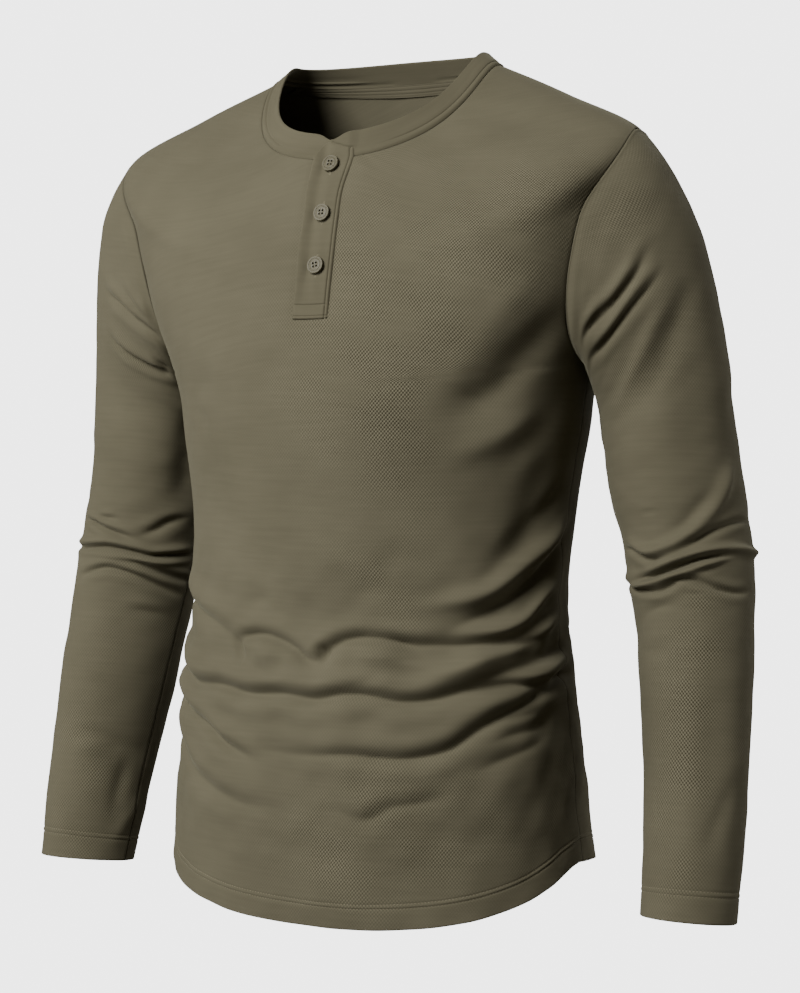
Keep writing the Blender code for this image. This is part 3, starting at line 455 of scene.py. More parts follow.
def sleeve_section(phi, reach):
    x, y, z, long_half, short_half, turn, pitch, roll = np.moveaxis(
        along(SECTION_KNOTS, SECTION_VALUES, reach), -1, 0)
    angle = -phi - turn
    long_side, short_side = long_half*np.cos(angle), short_half*np.sin(angle)
    out = long_side*np.cos(turn) - short_side*np.sin(turn)
    back = long_side*np.sin(turn) + short_side*np.cos(turn)
    return np.stack([x + out, y + back, z - np.tan(pitch)*back + np.tan(roll)*out], -1)


# Ways in which the sleeve leaves the armhole, at the shoulder and under the arm, and how strongly it
# keeps to them, and to the way into its first section
LEAVING_TOP, LEAVING_UNDER = np.array([0.72, 0.0, -0.69]), np.array([0.70, 0.0, -0.72])
TOP_PULL, UNDER_PULL, SECTION_PULL = 0.85, 0.70, 1.1


def sleeve_form(phi, reach):
    """Left sleeve without folds: it leaves the armhole outwards and turns down into its sections."""
    phi, reach = together(phi, reach)
    start, end = body_form(*armhole_place(phi)), sleeve_section(phi, np.full_like(phi, CAP_REACH))
    onward = unit(sleeve_section(phi, np.full_like(phi, CAP_REACH + 0.02)) - end)
    span = np.linalg.norm(end - start, axis=-1, keepdims=True)
    top = (0.5 + 0.5*np.cos(phi))[..., None]
    leaving = LEAVING_TOP*top + LEAVING_UNDER*(1 - top)
    leaving = leaving*span*(TOP_PULL*top + UNDER_PULL*(1 - top))
    t = np.clip(reach/CAP_REACH, -0.05, 1)[..., None]
    cap = cubic(t, start, leaving, end, onward*span*SECTION_PULL)
    tube = sleeve_section(phi, np.maximum(reach, CAP_REACH))
    return np.where((reach < CAP_REACH)[..., None], cap, tube)


def band_form(theta, up):
    """Outer surface of the neckband, from the neck seam (0) to its upper edge (1)."""
    theta, up = together(theta, up)
    seam = body_form(theta, np.full_like(theta, NECK_LEVEL))
    top = ring_point(theta, np.broadcast_to(np.array(BAND_TOP[1:])*np.array(RING_SCALE),
                                            theta.shape + (len(RING_SCALE),)))
    at_front = np.where(np.cos(theta) > 0, bell(top[..., 0]/MM, NOTCH_WIDTH), 0.0)
    share = (up*(1 - NOTCH_SHARE*at_front))[..., None]
    return seam*(1 - share) + top*share


def placket_angle(across, level):
    """Angle at which a ring passes a distance from the centre line."""
    half = along(RING_KNOTS, RING_VALUES, level)[..., 3]
    return np.arcsin(across*MM/half)


def strip_form(across, run):
    """Front centre surface by distance from the centre line and a run that goes on up the band."""
    across, run = together(across, run)
    level = np.minimum(run, NECK_LEVEL)
    on_body = body_form(placket_angle(across, level), level)
    seam_angle = placket_angle(across, np.full_like(level, NECK_LEVEL))
    on_band = band_form(seam_angle, np.maximum(run - NECK_LEVEL, 0)/BAND_RUN)
    return np.where((run > NECK_LEVEL)[..., None], on_band, on_body)


def centre_level(height):
    """Level of a height in millimetres, on the front's centre line."""
    levels = np.linspace(0, NECK_LEVEL, 2000)
    return np.interp(np.asarray(height)*MM, body_form(0.0, levels)[..., 2], levels)


FOOT_LEVEL = float(centre_level(PLACKET_FOOT))

# ---------------------------------------------------------------- folds laid on a form

# A crease's trough: how far its slopes reach above and below it, in widths, and how sharp it is.
# Below it stands a low ridge, of which the height is a share of the depth; above it hangs the roll.
UPPER_SLOPE, LOWER_SLOPE, SHARPNESS = 1.35, 0.85, 1.5
RIDGE_HEIGHT, RIDGE_BELOW, RIDGE_WIDTH = 0.22, 2.8, 1.6
ROLL_WIDTH = 0.8


def round_gap(gap, round_trip):
    """A distance round the cloth, taken the shorter way."""
    return (gap + round_trip/2) % round_trip - round_trip/2


def path_of(places, scale):
    """Evenly spaced points, in millimetres on the flat cloth, of a smooth path through places."""
    knots = np.array(places, float)*np.array(scale)
    if knots[0, 0] > knots[-1, 0]:
        knots = knots[::-1]
    length = lengths_along(knots)
    return along(length, knots, np.linspace(0, length[-1], max(10, int(length[-1]/2.5))))


def beside(path, across, up, round_trip):
    """Distance from a path, positive on its upper side, and the share of the path passed."""
    apart = round_gap(across[:, None] - path[:, 0], round_trip)
    rise = up[:, None] - path[:, 1]
    near = np.argmin(apart**2 + rise**2, axis=1)
    heading = np.gradient(path, axis=0)
    spacing = np.linalg.norm(heading, axis=1)
    heading = heading/spacing[:, None]
    each = np.arange(len(across))
    apart, rise, heading = apart[each, near], rise[each, near], heading[near]
    distance = heading[:, 0]*rise - heading[:, 1]*apart
    passed = (heading[:, 0]*apart + heading[:, 1]*rise)/spacing[near]
    return distance, (near + passed)/(len(path) - 1)


def folds(creases, swells, scale, across, up):
    """Height in millimetres of all the creases and swells together, at places on the flat cloth."""
    total, round_trip = np.zeros(across.size), 360*scale[0]
    flat_across, flat_up = across.ravel(), up.ravel()
    for fold in (*creases, *swells):
        path = path_of(fold.path, scale)
        soft = isinstance(fold, Swell)
        margin = 3.2*fold.width if soft else 2.6*fold.over + 3.5*fold.width
        apart = round_gap(flat_across - path[:, 0].mean(), round_trip)
        near = np.flatnonzero((np.abs(apart) < np.ptp(path[:, 0])/2 + margin + 8)
                              & (flat_up > path[:, 1].min() - margin)
                              & (flat_up < path[:, 1].max() + margin))
        if not near.size:
            continue
        distance, share = beside(path, flat_across[near], flat_up[near], round_trip)
        taper = smooth(0, fold.ends, share)*smooth(0, fold.ends, 1 - share)
        if soft:
            height = fold.height*bell(distance, fold.width)
        else:
            slope = np.where(distance > 0, UPPER_SLOPE, LOWER_SLOPE)*fold.width
            height = fold.roll*bell(distance - fold.over, ROLL_WIDTH*fold.over)
            height += RIDGE_HEIGHT*fold.depth*bell(distance + RIDGE_BELOW*fold.width,
                                                   RIDGE_WIDTH*fold.width)
            height -= fold.depth*np.exp(-(np.abs(distance)/slope)**SHARPNESS)
        total[near] += taper*height
    return total.reshape(across.shape)


def unevenness(across, up, round_trip, shift):
    total = np.zeros(across.shape)
    for wave in WAVES:
        turns = round(cos(radians(wave.heading))*round_trip/wave.length)
        total += wave.height*np.sin(2*pi*(turns*across/round_trip + sin(radians(wave.heading))*up
                                          / wave.length) + wave.start + shift)
    return total


def raised_knit(spots, scale, across, up):
    """How much the cells stand up, from 0 to 1, at places on the flat cloth."""
    flat = np.ones(across.shape)
    for spot in spots:
        away = np.hypot(round_gap(across - spot.across*scale[0], 360*scale[0]), up - spot.up*scale[1])
        flat *= 1 - spot.strength*bell(away, spot.radius)
    return 1 - flat


# How uneven the cloth is at the chest and the sleeves, how much more so at the waist, and the heights
# in millimetres between which that grows
CHEST_WEAR, SLEEVE_WEAR, WAIST_WEAR = 0.45, 0.90, 1.35
WEAR_FROM, WEAR_TO = -330, -430


def body_height(theta, form):
    """Height of the folds over the body's form, in millimetres."""
    across, up = np.degrees(theta)*BODY_SCALE[0], form[..., 2]/MM
    height = folds(BODY_CREASES, BODY_SWELLS, BODY_SCALE, across, up)
    worn = CHEST_WEAR + WAIST_WEAR*smooth(WEAR_FROM, WEAR_TO, up)
    return height + unevenness(across, up, 360*BODY_SCALE[0], 0.0)*worn


# ---------------------------------------------------------------- cloth built from grids of points


def lifted(points, normal, height):
    """Points moved out along their normals, by a height in millimetres."""
    return points + normal*(height*MM)[..., None]


def grid_normals(grid):
    return unit(np.cross(np.gradient(grid, axis=1), np.gradient(grid, axis=0)))


def piece_of(name, points, faces, material):
    """Smooth-shaded piece of the shirt, which is all one body."""
    mesh = bpy.data.meshes.new(name)
    mesh.from_pydata(points.tolist(), [], faces)
    mesh.shade_smooth()
    mesh.materials.append(material)
    piece = bpy.data.objects.new(name, mesh)
    bpy.context.collection.objects.link(piece)
    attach(piece, "root")
    return piece


SEAM_SHADE = 0.55      # mm beside a seam over which its painted shade fades


def cloth(node, outer, inner, flat, material, kept=None, raised=None, beside_seam=None):
    """Closed wall between two grids, with rims round every open edge, in place of a CAD node. flat
    gives each point's place on the flat cloth in metres, which the knit follows; raised is how much
    its cells stand up there, and beside_seam is the distance in millimetres from a seam, near which
    the cloth's colour is darkened with painted shade."""
    rows, columns = outer.shape[:2]
    count = rows*columns
    index = np.arange(count).reshape(rows, columns)
    if kept is None:
        kept = np.ones((rows - 1, columns - 1), bool)
    faces = np.stack([index[:-1, :-1][kept], index[:-1, 1:][kept], index[1:, 1:][kept],
                      index[1:, :-1][kept]], 1)
    start, end = faces.ravel(), np.roll(faces, -1, axis=1).ravel()
    rim = ~np.isin(start*count + end, end*count + start)
    start, end = start[rim], end[rim]
    faces = np.concatenate([faces, faces[:, ::-1] + count,
                            np.stack([end, start, start + count, end + count], 1)])
    used, faces = np.unique(faces, return_inverse=True)
    faces = faces.reshape(-1, 4)
    points = np.concatenate([outer.reshape(-1, 3), inner.reshape(-1, 3)])[used]
    piece = piece_of(f"{node}_cloth", points, faces.tolist(), material)
    places = np.concatenate([flat.reshape(-1, 2)]*2)[used][faces.ravel()]
    piece.data.uv_layers.new(name="flat").data.foreach_set("uv", places.astype(np.float32).ravel())
    if raised is not None:
        # point attributes: how far the knit's cells stand up, and the painted shade beside the seams
        for label, values in (("raised", raised), ("seam", np.exp(-beside_seam/SEAM_SHADE))):
            both = np.concatenate([values.ravel()]*2)[used].astype(np.float32)
            piece.data.attributes.new(label, "FLOAT", "POINT").data.foreach_set("value", both)
    piece.data.update()
    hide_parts(node)
    return piece


def rounded(outer, normal, thick, edge_gap):
    """Outer and inner points of a wall whose thickness closes to a round edge. edge_gap gives each
    point's distance from the nearest free edge, in millimetres."""
    half = thick/2
    depth = np.clip(edge_gap/half, 0, 1)
    share = np.sqrt(np.clip(1 - (1 - depth)**2, 0.02, 1))
    middle = lifted(outer, normal, -half)
    return lifted(middle, normal, half*share), lifted(middle, normal, -half*share)


EDGE_STEPS = (0.0, 0.7, 1.6, 2.8, 4.4)      # mm from a seam, where rows and columns stand closer
SEAM_DEPTH = 0.40


def seam_dip(distance):
    """Depth to which sewn cloth is drawn in beside a seam, in millimetres."""
    distance = np.asarray(distance, float)
    return SEAM_DEPTH*np.exp(-distance/1.1) - 0.30*bell(distance - 3.2, 2.2)


HEM_ROWS = (0.0, 0.3, 0.8, 1.6, 3.0, 6.0, 9.5, 13.0, 15.4, 16.3, 16.9, 17.5, 18.3, 19.2, 19.9, 20.6, 21.4,
            22.4, 24.4)
HEM_LINES = (HEM_HEIGHT - 3.1, HEM_HEIGHT - 3.1 + TWIN_NEEDLE)
HEM_END = HEM_LINES[1] + 2.5


def hem_relief(distance):
    """Outward height beside the twin-needle stitching of a hem, by the distance from its edge."""
    relief = 0.25*bell(distance - sum(HEM_LINES)/2, 1.1)
    for line in HEM_LINES:
        relief = relief - 0.5*bell(distance - line, 0.55)
    return relief


def turned_up(outer, wall_normal, from_edge):
    """Outer and inner points of a knit wall that is doubled at its hem."""
    thick = KNIT_THICK + (HEM_THICK - KNIT_THICK)*(1 - smooth(HEM_LINES[1], HEM_END, from_edge))
    return rounded(outer, wall_normal, thick, from_edge)


def evenly(probe, spacing, step):
    """Values of probe so far apart that the spacing between them keeps to a step, which may vary."""
    count = np.r_[0, np.cumsum(spacing/step[1:])]
    return np.interp(np.linspace(0, count[-1], int(count[-1])), count, probe)


FOLDS_END = 9          # mm below the neck seam over which a panel's folds die out
PRESSED = (-20, 20)    # mm across the front over which the seams change from drawn in to pressed flat
# How deep the front is drawn in beside the placket's folded edge and its sewn one, and how far
BESIDE_FOLD, BESIDE_SEAM = (0.9, 2.2), (0.3, 2.5)
# mm between a panel's rows, where the creases lie, at the shoulders and elsewhere; the heights between
# which the creases lie; and the levels of the shoulders and of the first row above the hem
CREASED_ROWS, SHOULDER_ROWS, PLAIN_ROWS = 1.9, 2.0, 3.4
CREASED_FROM, CREASED_TO = -600, -395
SHOULDERS_FROM, FIRST_LEVEL = 0.80, 0.055


def panel_rows(of_back):
    """Levels of a panel's rows above the hem."""
    probe = np.linspace(FIRST_LEVEL, NECK_LEVEL, 3000)
    height = body_form(pi if of_back else 0.0, probe)[..., 2]/MM
    creased = (height > CREASED_FROM) & (height < CREASED_TO)
    step = np.where(probe > SHOULDERS_FROM, SHOULDER_ROWS, np.where(creased, CREASED_ROWS, PLAIN_ROWS))
    levels = evenly(probe, np.abs(np.diff(height)), step)
    top_run = np.abs(np.diff(height)[-1])/np.diff(probe)[-1]
    near_top = NECK_LEVEL - np.array(EDGE_STEPS[::-1])/top_run
    return np.concatenate([levels[levels < near_top[0] - 0.6/top_run], near_top])


# Columns of half a panel besides the closer ones at its seam, and of the placket's opening
FRONT_COLUMNS, BACK_COLUMNS, SLIT_COLUMNS = 81, 79, 9


def toward_edge(columns, half):
    """Shares of half a panel's width, which is given by its points: even, but closer at its seam."""
    width = lengths_along(half)[-1]/MM
    return np.concatenate([np.linspace(0, 1, columns)*(1 - EDGE_STEPS[-1]/width),
                           1 - np.array(EDGE_STEPS[-2::-1])/width])


def front_sides(levels):
    """Columns run from edge to edge, with some of them down the placket's opening."""
    rows = []
    for level in levels:
        left, right = placket_angle(PLACKET_LEFT, level), placket_angle(PLACKET_RIGHT, level)
        edge = edge_angle(level, False)
        middle = placket_angle(np.linspace(PLACKET_LEFT, PLACKET_RIGHT, SLIT_COLUMNS + 2)[1:-1], level)
        away = toward_edge(FRONT_COLUMNS, body_form(np.linspace(right, edge, 40), level))
        rows.append(np.concatenate([left - (edge + left)*away[::-1], middle,
                                    right + (edge - right)*away]))
    return np.array(rows)


def back_sides(levels):
    rows = []
    for level in levels:
        edge = edge_angle(level, True)
        away = toward_edge(BACK_COLUMNS, body_form(pi + np.linspace(0, edge, 40), level))
        rows.append(pi + edge*np.concatenate([-away[:0:-1], away]))
    return np.array(rows)


def panel(of_back, material):
    """Front or back: a grid from side to side, drawn in at its seams and turned up at the hem."""
    sides = back_sides if of_back else front_sides
    levels = panel_rows(of_back)
    angles = sides(np.zeros(1))[0]
    run = body_form(angles, 0.01) - body_form(angles, 0.0)
    slope = np.linalg.norm(run, axis=-1)/MM/0.01
    hem = np.array(HEM_ROWS)[:, None]/slope
    level = np.concatenate([hem, np.repeat(levels[:, None], len(angles), 1)])
    theta = np.concatenate([np.repeat(angles[None], len(HEM_ROWS), 0), sides(levels)])
    kept = np.ones((level.shape[0] - 1, level.shape[1] - 1), bool)
    if not of_back:
        # the slit starts at the placket's foot and leaves out the cells between its outer columns
        foot_row = len(HEM_ROWS) + int(np.argmin(np.abs(levels - FOOT_LEVEL)))
        slit = (len(angles) - SLIT_COLUMNS)//2
        opening = slice(slit - 1, slit + SLIT_COLUMNS + 1)
        level[foot_row, opening] = FOOT_LEVEL
        theta[foot_row, opening] = placket_angle(
            np.linspace(PLACKET_LEFT, PLACKET_RIGHT, SLIT_COLUMNS + 2), FOOT_LEVEL)
        kept[foot_row:, slit:slit + SLIT_COLUMNS - 1] = False
    form = body_form(theta, level)
    normal = normals_of(body_form, theta, level)
    x = form[..., 0]/MM
    walked, climbed = lengths_along(form, 1)/MM, lengths_along(form, 0)/MM
    beside_seam = np.minimum(walked, walked[:, -1:] - walked)
    below_neck = climbed[-1] - climbed
    height = body_height(theta, form)*smooth(0, FOLDS_END, below_neck)
    off_placket = 1 - bell(walked - walked[:, -1:]/2, 18)*(not of_back)
    pressed = smooth(*PRESSED, x)
    height -= seam_dip(beside_seam)*(1 - 0.6*pressed)
    height -= seam_dip(below_neck)*off_placket*neck_draw(x)
    height += hem_relief(climbed)
    if not of_back:
        on_strip = smooth(FOOT_LEVEL - 0.01, FOOT_LEVEL + 0.01, level)
        for (depth, width), gap, there in ((BESIDE_FOLD, PLACKET_LEFT - x, x < 0),
                                           (BESIDE_SEAM, x - PLACKET_RIGHT, x > 0)):
            height -= depth*bell(np.maximum(gap, 0), width)*there*on_strip
    outer = lifted(form, normal, height)
    outer, inner = turned_up(outer, grid_normals(outer), climbed)
    # the courses lie level at the waist, and the curved hem is cut across them
    waist = int(np.argmin(np.abs(level[:, 0] - WAIST_LEVEL)))
    flat = np.stack([walked - walked[:, [walked.shape[1]//2]], climbed - climbed[waist]], -1)*MM
    raised = raised_knit(BACK_RAISED if of_back else FRONT_RAISED, BODY_SCALE,
                         np.degrees(theta)*BODY_SCALE[0], form[..., 2]/MM)
    # the painted shade beside the seams is narrower where they are pressed flat
    piece = cloth("back" if of_back else "front", outer, inner, flat, material, kept, raised,
                  beside_seam*(0.5 + 2.5*pressed))
    return piece, outer, climbed


# What the two sleeves have of their own. The armhole that the pressing left shut, the right one, is
# drawn in and shows as a dark line, partly the dip and partly painted shade that reaches further from
# the seam; the other one rolls into the light, with a narrower strip of painted shade.
Side = namedtuple("Side", "name creases swells raised shift drawn_in roll clear_of_shade")
LEFT = Side("left", LEFT_SLEEVE_CREASES, LEFT_SLEEVE_SWELLS, LEFT_SLEEVE_RAISED, 0.0, 0.4, 0.70, 3.0)
RIGHT = Side("right", RIGHT_SLEEVE_CREASES, RIGHT_SLEEVE_SWELLS, RIGHT_SLEEVE_RAISED, 2.0, 1.0, 0.35,
             0.35)
# mm from the armhole over which a sleeve's folds set in and the body's die out
FOLDS_SET_IN, BODY_FOLDS_END = 22, 30
# mm between a sleeve's rows, over the elbow, at its head and elsewhere, and the shares of its length
# at which these lie
ELBOW_ROWS, HEAD_ROWS, TUBE_ROWS = 1.8, 2.6, 3.8
ELBOW_FROM, ELBOW_TO, HEAD_TO = 0.48, 0.69, 0.32
SLEEVE_COLUMNS = 104


def sleeve(side, material):
    """A tube whose seam runs up under the arm, from the armhole to a twin-needle cuff."""
    seam = np.array(EDGE_STEPS)/SLEEVE_ROUND*2*pi
    phi = np.concatenate([-pi + seam[:-1], np.linspace(-pi + seam[-1], pi - seam[-1], SLEEVE_COLUMNS),
                          pi - seam[-2::-1]])
    cuff = 1 - np.array(HEM_ROWS[::-1])/SLEEVE_LENGTH
    probe = np.linspace(EDGE_STEPS[-1]/SLEEVE_LENGTH, cuff[0], 2000)
    step = np.where((probe > ELBOW_FROM) & (probe < ELBOW_TO), ELBOW_ROWS,
                    np.where(probe < HEAD_TO, HEAD_ROWS, TUBE_ROWS))
    middle = evenly(probe, np.diff(probe)*SLEEVE_LENGTH, step)
    rows = np.concatenate([np.array(EDGE_STEPS[:-1])/SLEEVE_LENGTH, middle[:-1], cuff])
    angle, reach = np.meshgrid(phi, rows)
    form = sleeve_form(angle, reach)
    at_seam = armhole_place(phi)
    on_body = (1 - smooth(0, 4.0, reach*SLEEVE_LENGTH))[..., None]
    normal = unit(normals_of(sleeve_form, angle, np.maximum(reach, 0.003))
                  + normals_of(body_form, *at_seam)[None]*on_body)
    from_cuff = (1 - reach)*SLEEVE_LENGTH
    from_armhole = reach*SLEEVE_LENGTH
    from_seam = (pi - np.abs(angle))/(2*pi)*SLEEVE_ROUND
    across, up = np.degrees(angle)*SLEEVE_SCALE[0], reach*1000*SLEEVE_SCALE[1]
    height = folds(side.creases, side.swells, SLEEVE_SCALE, across, up)
    height = height + SLEEVE_WEAR*unevenness(across, up, SLEEVE_ROUND, side.shift)
    height = height*smooth(0, FOLDS_SET_IN, from_armhole)
    height += body_height(at_seam[0], body_form(*at_seam))*(1 - smooth(0, BODY_FOLDS_END, from_armhole))
    height -= seam_dip(from_armhole)*side.drawn_in + seam_dip(from_seam)
    height += side.roll*bell(from_armhole - 1.6, 1.0) + hem_relief(from_cuff)
    outer = lifted(form, normal, height)
    wall_normal = grid_normals(outer)
    wall_normal[0] = normal[0]
    outer, inner = turned_up(outer, wall_normal, from_cuff)
    # the courses lie level at the cuff
    walked = lengths_along(form, 1)
    flat = np.stack([walked - walked[:, [len(phi)//2]], lengths_along(form[::-1], 0)[::-1]], -1)
    raised = raised_knit(side.raised, SLEEVE_SCALE, across, up)
    # distance that sets the painted shade along the armhole and the underarm seam; clear_of_shade narrows
    # or widens it at the armhole
    beside_seam = np.minimum(from_armhole*side.clear_of_shade, from_seam)
    if side is RIGHT:
        for grid in (outer, inner):
            grid[..., 2] -= RIGHT_CUFF_DROP*MM*smooth(DROP_START, 1, reach)
            grid[..., 0] *= -1
        outer, inner, flat, raised, beside_seam = (
            grid[:, ::-1] for grid in (outer, inner, flat, raised, beside_seam))
    piece = cloth(f"sleeve_{side.name}", outer, inner, flat, material, None, raised, beside_seam)
    return piece, outer, from_cuff


# ---------------------------------------------------------------- neckband, placket and tape

BAND_ROLL = 5.6        # mm from the neck seam to the topstitching


def neck_draw(x):
    """Depth to which the neck seam draws the cloth in: less at the wearer's right, where it is pressed."""
    return 0.45 + 0.45*smooth(-30, 10, x)


def band_relief(x, mm_up):
    """Outward height of the band's surface, by the distance up it from the neck seam."""
    off_centre = np.abs(x)
    stitched = smooth(30, 66, off_centre)
    rolled = smooth(17, 26, off_centre)*(0.55 + 0.45*stitched)
    # the roll over the seam's allowance, the groove of its stitches, the swell above and the seam
    relief = 0.85*rolled*bell(mm_up - BAND_ROLL/2, 2.2)
    relief -= 0.60*stitched*bell(mm_up - BAND_ROLL, 0.6)
    relief += 0.30*stitched*bell(mm_up - BAND_ROLL - 3.2, 2.8)
    relief -= neck_draw(x)*np.exp(-mm_up/0.9)*smooth(15, 18, off_centre)
    return relief


def neckband(material):
    """The folded band, whose left end laps over the placket."""
    # columns stand closer at the notch, and rows at the neck seam, the topstitching and the edge
    at_front = np.radians(np.arange(0, 26, 0.62))
    theta = np.concatenate([at_front, np.radians(np.linspace(26, 334, 250)), 2*pi - at_front[::-1]])
    up = np.r_[0, 0.35, 0.8, 1.4, 2.0:4.6:0.7, 4.7:7.0:0.33, 7.4:18.6:0.9, 18.8, 19.3, 19.7, 20.0]
    angle, rise = np.meshgrid(theta, up)
    share = rise/BAND_HEIGHT
    form = band_form(angle, share)
    normal = normals_of(band_form, angle, share)
    x = form[..., 0]/MM
    left_end = (x > -1.5) & (np.cos(angle) > 0)
    over = smooth(-0.04, 0.04, share - np.interp(x, TOP_EDGE_ACROSS, TOP_EDGE_UP))
    relief = band_relief(x, rise) + 0.25*np.sin(3*angle + 1)*share
    lap = np.where(left_end, 1 - smooth(14, 24, x), 0.0)
    step_at_strip = np.where(left_end & (x < 17.2), 1.0, 0.0)
    relief += lap*1.75*over - 0.5*step_at_strip*(1 - over)
    outer = lifted(form, normal, relief)
    outer, inner = rounded(outer, unit(0.4*grid_normals(outer) + 0.6*normal),
                           np.full(angle.shape, BAND_THICK), BAND_HEIGHT - rise)
    flat = np.stack([lengths_along(form, 1), lengths_along(form, 0)], -1)
    return cloth("neckband", outer, inner, flat, material)


def flare(across, height):
    """The placket widens to its right near the top, where the neckband draws it."""
    return across + np.maximum(across, 0)/PLACKET_RIGHT*4.6*smooth(92, 134, height)**1.3


def free_edge(height):
    """Sideways wander of the placket's folded edge, in millimetres."""
    return (0.5*bell(height - 78, 9) - 0.7*bell(height - 58, 12) + 0.5*bell(height - 24, 10)
            - 0.5*bell(height - 104, 14))


def placket_relief(across, height, top):
    """Outward height of the placket over the front, by the distance across and up from its foot."""
    from_left, from_right = across - PLACKET_LEFT, PLACKET_RIGHT - across
    relief = np.full(np.broadcast(across, height).shape, PLACKET_RISE)
    # the folded edge rolls up and falls away into the hollow that the buttons draw
    loose = smooth(8, 20, height)
    relief += 1.35*loose*bell(from_left - 1.9, np.where(from_left < 1.9, 1.3, 4.6))
    relief -= 0.95*smooth(14, 44, height)*bell(from_left - 10.5, 4.6)
    relief += 0.40*loose*bell(from_left - 18.5, 4.5)
    # edge stitching down the sewn side, across the box at the foot, and round it
    relief -= 0.55*smooth(5.0, 1.0, from_right)
    relief -= 0.95*bell(from_right - 3.0, 0.40) - 0.45*bell(from_right - 1.6, 0.8)
    relief -= 0.90*bell(height - 11.4, 0.55)*smooth(2.9, 3.6, from_right)
    relief -= 0.85*bell(height - 2.5, 0.5) - 0.35*bell(height - 1.3, 0.7)
    relief -= 0.35*bell(from_left - 1.6, 0.5)*(1 - smooth(10, 12, height))
    # each button presses the cloth in, more on its free side, and its buttonhole is a slit
    for button_height in BUTTON_HEIGHTS:
        away, aside = height - (button_height - PLACKET_FOOT), across - BUTTON_ACROSS
        relief -= 0.50*bell(aside, 8)*bell(away, 8)
        relief -= 0.90*bell(aside + 8.4, 2.6)*bell(away + 1, 7)
        relief += 0.30*bell(aside, 8)*bell(away - 21, 9)
        relief -= 0.5*bell(aside, 0.35)*smooth(9.4, 8.6, np.abs(away))
    # folded edge, sewn edge, foot, the end that tucks under the band and the free one beside it
    relief -= 1.1*bell(from_left, 0.55) + 1.1*bell(from_right, 0.40) + 1.25*bell(height, 0.45)
    relief -= 1.6*(smooth(-2.6, 0.6, height - top)*smooth(-3.0, 1.0, across))
    relief -= 1.1*bell(np.where(across < -1, height - top, 99.0), 0.7)
    return relief


# mm by which the under ply lies inside the front's form, and inside the placket's edges
UNDER_SEAT, UNDER_MARGIN = 0.35, 1.5


def placket_strips(material):
    """Both plies of the placket. The upper one's columns end where the neckband laps over them."""
    across = np.r_[-15.5, -15.25, -14.9, -14.5, -14.0:12.6:0.62, 12.9:16.2:0.26, 16.3, 16.5]
    share = np.r_[0:0.035:12j, 0.04:0.069:6j, 0.072:0.092:9j, 0.098:0.985:170j, 0.989, 0.993, 0.9965,
                  1.0][:, None]
    top_run = NECK_LEVEL + BAND_RUN*np.interp(across, TOP_EDGE_ACROSS, TOP_EDGE_UP)
    run = FOOT_LEVEL + (top_run - FOOT_LEVEL)*share
    width = np.broadcast_to(across, run.shape)
    height = (strip_form(np.zeros_like(run), run)[..., 2] - strip_form(0.0, FOOT_LEVEL)[2])/MM
    moved = flare(width, height) + free_edge(height)*(1 - smooth(-15, -6, width))
    normal = normals_of(strip_form, moved, run)
    relief = placket_relief(width, height, np.broadcast_to(height[-1], height.shape))
    outer = lifted(strip_form(moved, run), normal, relief)
    flat = np.stack([width*MM, height*MM], -1)
    strip = cloth("placket_top", outer, outer - normal*PLACKET_THICK*MM, flat, material)

    width, run = np.meshgrid(np.linspace(PLACKET_LEFT + UNDER_MARGIN, PLACKET_RIGHT - UNDER_MARGIN, 16),
                             np.linspace(FOOT_LEVEL, NECK_LEVEL - 0.002, 60))
    normal = normals_of(strip_form, width, run)
    under = strip_form(width, run) - normal*UNDER_SEAT*MM
    flat = np.stack([width*MM, lengths_along(under, 0)], -1)
    ply = cloth("placket_under", under, under - normal*PLACKET_THICK*MM, flat, material)
    return strip, ply


TAPE_SEAT = 2.2        # mm inside the neck seam, so that it covers the band's turned-in edge
TAPE_STITCHES = (-0.6, 2.8, 6.0, 8.0)
TAPE_EDGES = (-1.9, 9.0)


def neck_tape(material):
    """Tape along the inside of the back neck seam, with rows of stitching."""
    theta = pi + edge_angle(NECK_LEVEL, True)*np.linspace(-0.78, 0.78, 170)
    drop = np.array([-1.9, -1.5, -1.0, -0.6, -0.2, 0.5, 1.6, 2.4, 2.8, 3.2, 4.4, 5.6, 6.0, 6.4, 7.4, 8.0,
                     8.5, 9.0])
    down = np.meshgrid(theta, drop[::-1])[1]
    seam = body_form(theta, np.full_like(theta, NECK_LEVEL))
    heading = unit(body_form(theta, np.full_like(theta, NECK_LEVEL - 0.02)) - seam)
    normal = normals_of(body_form, theta, np.full_like(theta, NECK_LEVEL - 0.01))
    stitched = sum(bell(down - line, 0.4) for line in TAPE_STITCHES)
    edge = sum(bell(down - line, 0.35) for line in TAPE_EDGES)
    surface = lifted(seam[None], heading[None], down + 0.8)
    outer = lifted(surface, normal[None], -(TAPE_SEAT + 0.4*edge))
    inner = lifted(surface, normal[None], -(TAPE_SEAT + TAPE_THICK - 0.4*stitched - 0.4*edge))
    flat = np.stack([lengths_along(surface, 1), lengths_along(surface, 0)], -1)
    return cloth("neck_tape", outer, inner, flat, material)


# ---------------------------------------------------------------- stitches


def read_at(knots, rows, at):
    """Rows of points or normals, read at places between their knots."""
    return np.stack([np.interp(at, knots, rows[:, k]) for k in range(3)], -1)


# A stitch is a bent tube of a few rings, each at a share of its length and with a share of its
# thickness; its ends dive into the cloth by so many thicknesses.
STITCH_SIDES = 6
STITCH_RINGS = ((-0.5, 0.25), (-0.38, 0.9), (0.0, 1.0), (0.38, 0.9), (0.5, 0.25))
STITCH_DIVE = 1.6
HEADING_STEP = 0.4     # mm on either side of a stitch, between which its heading is taken


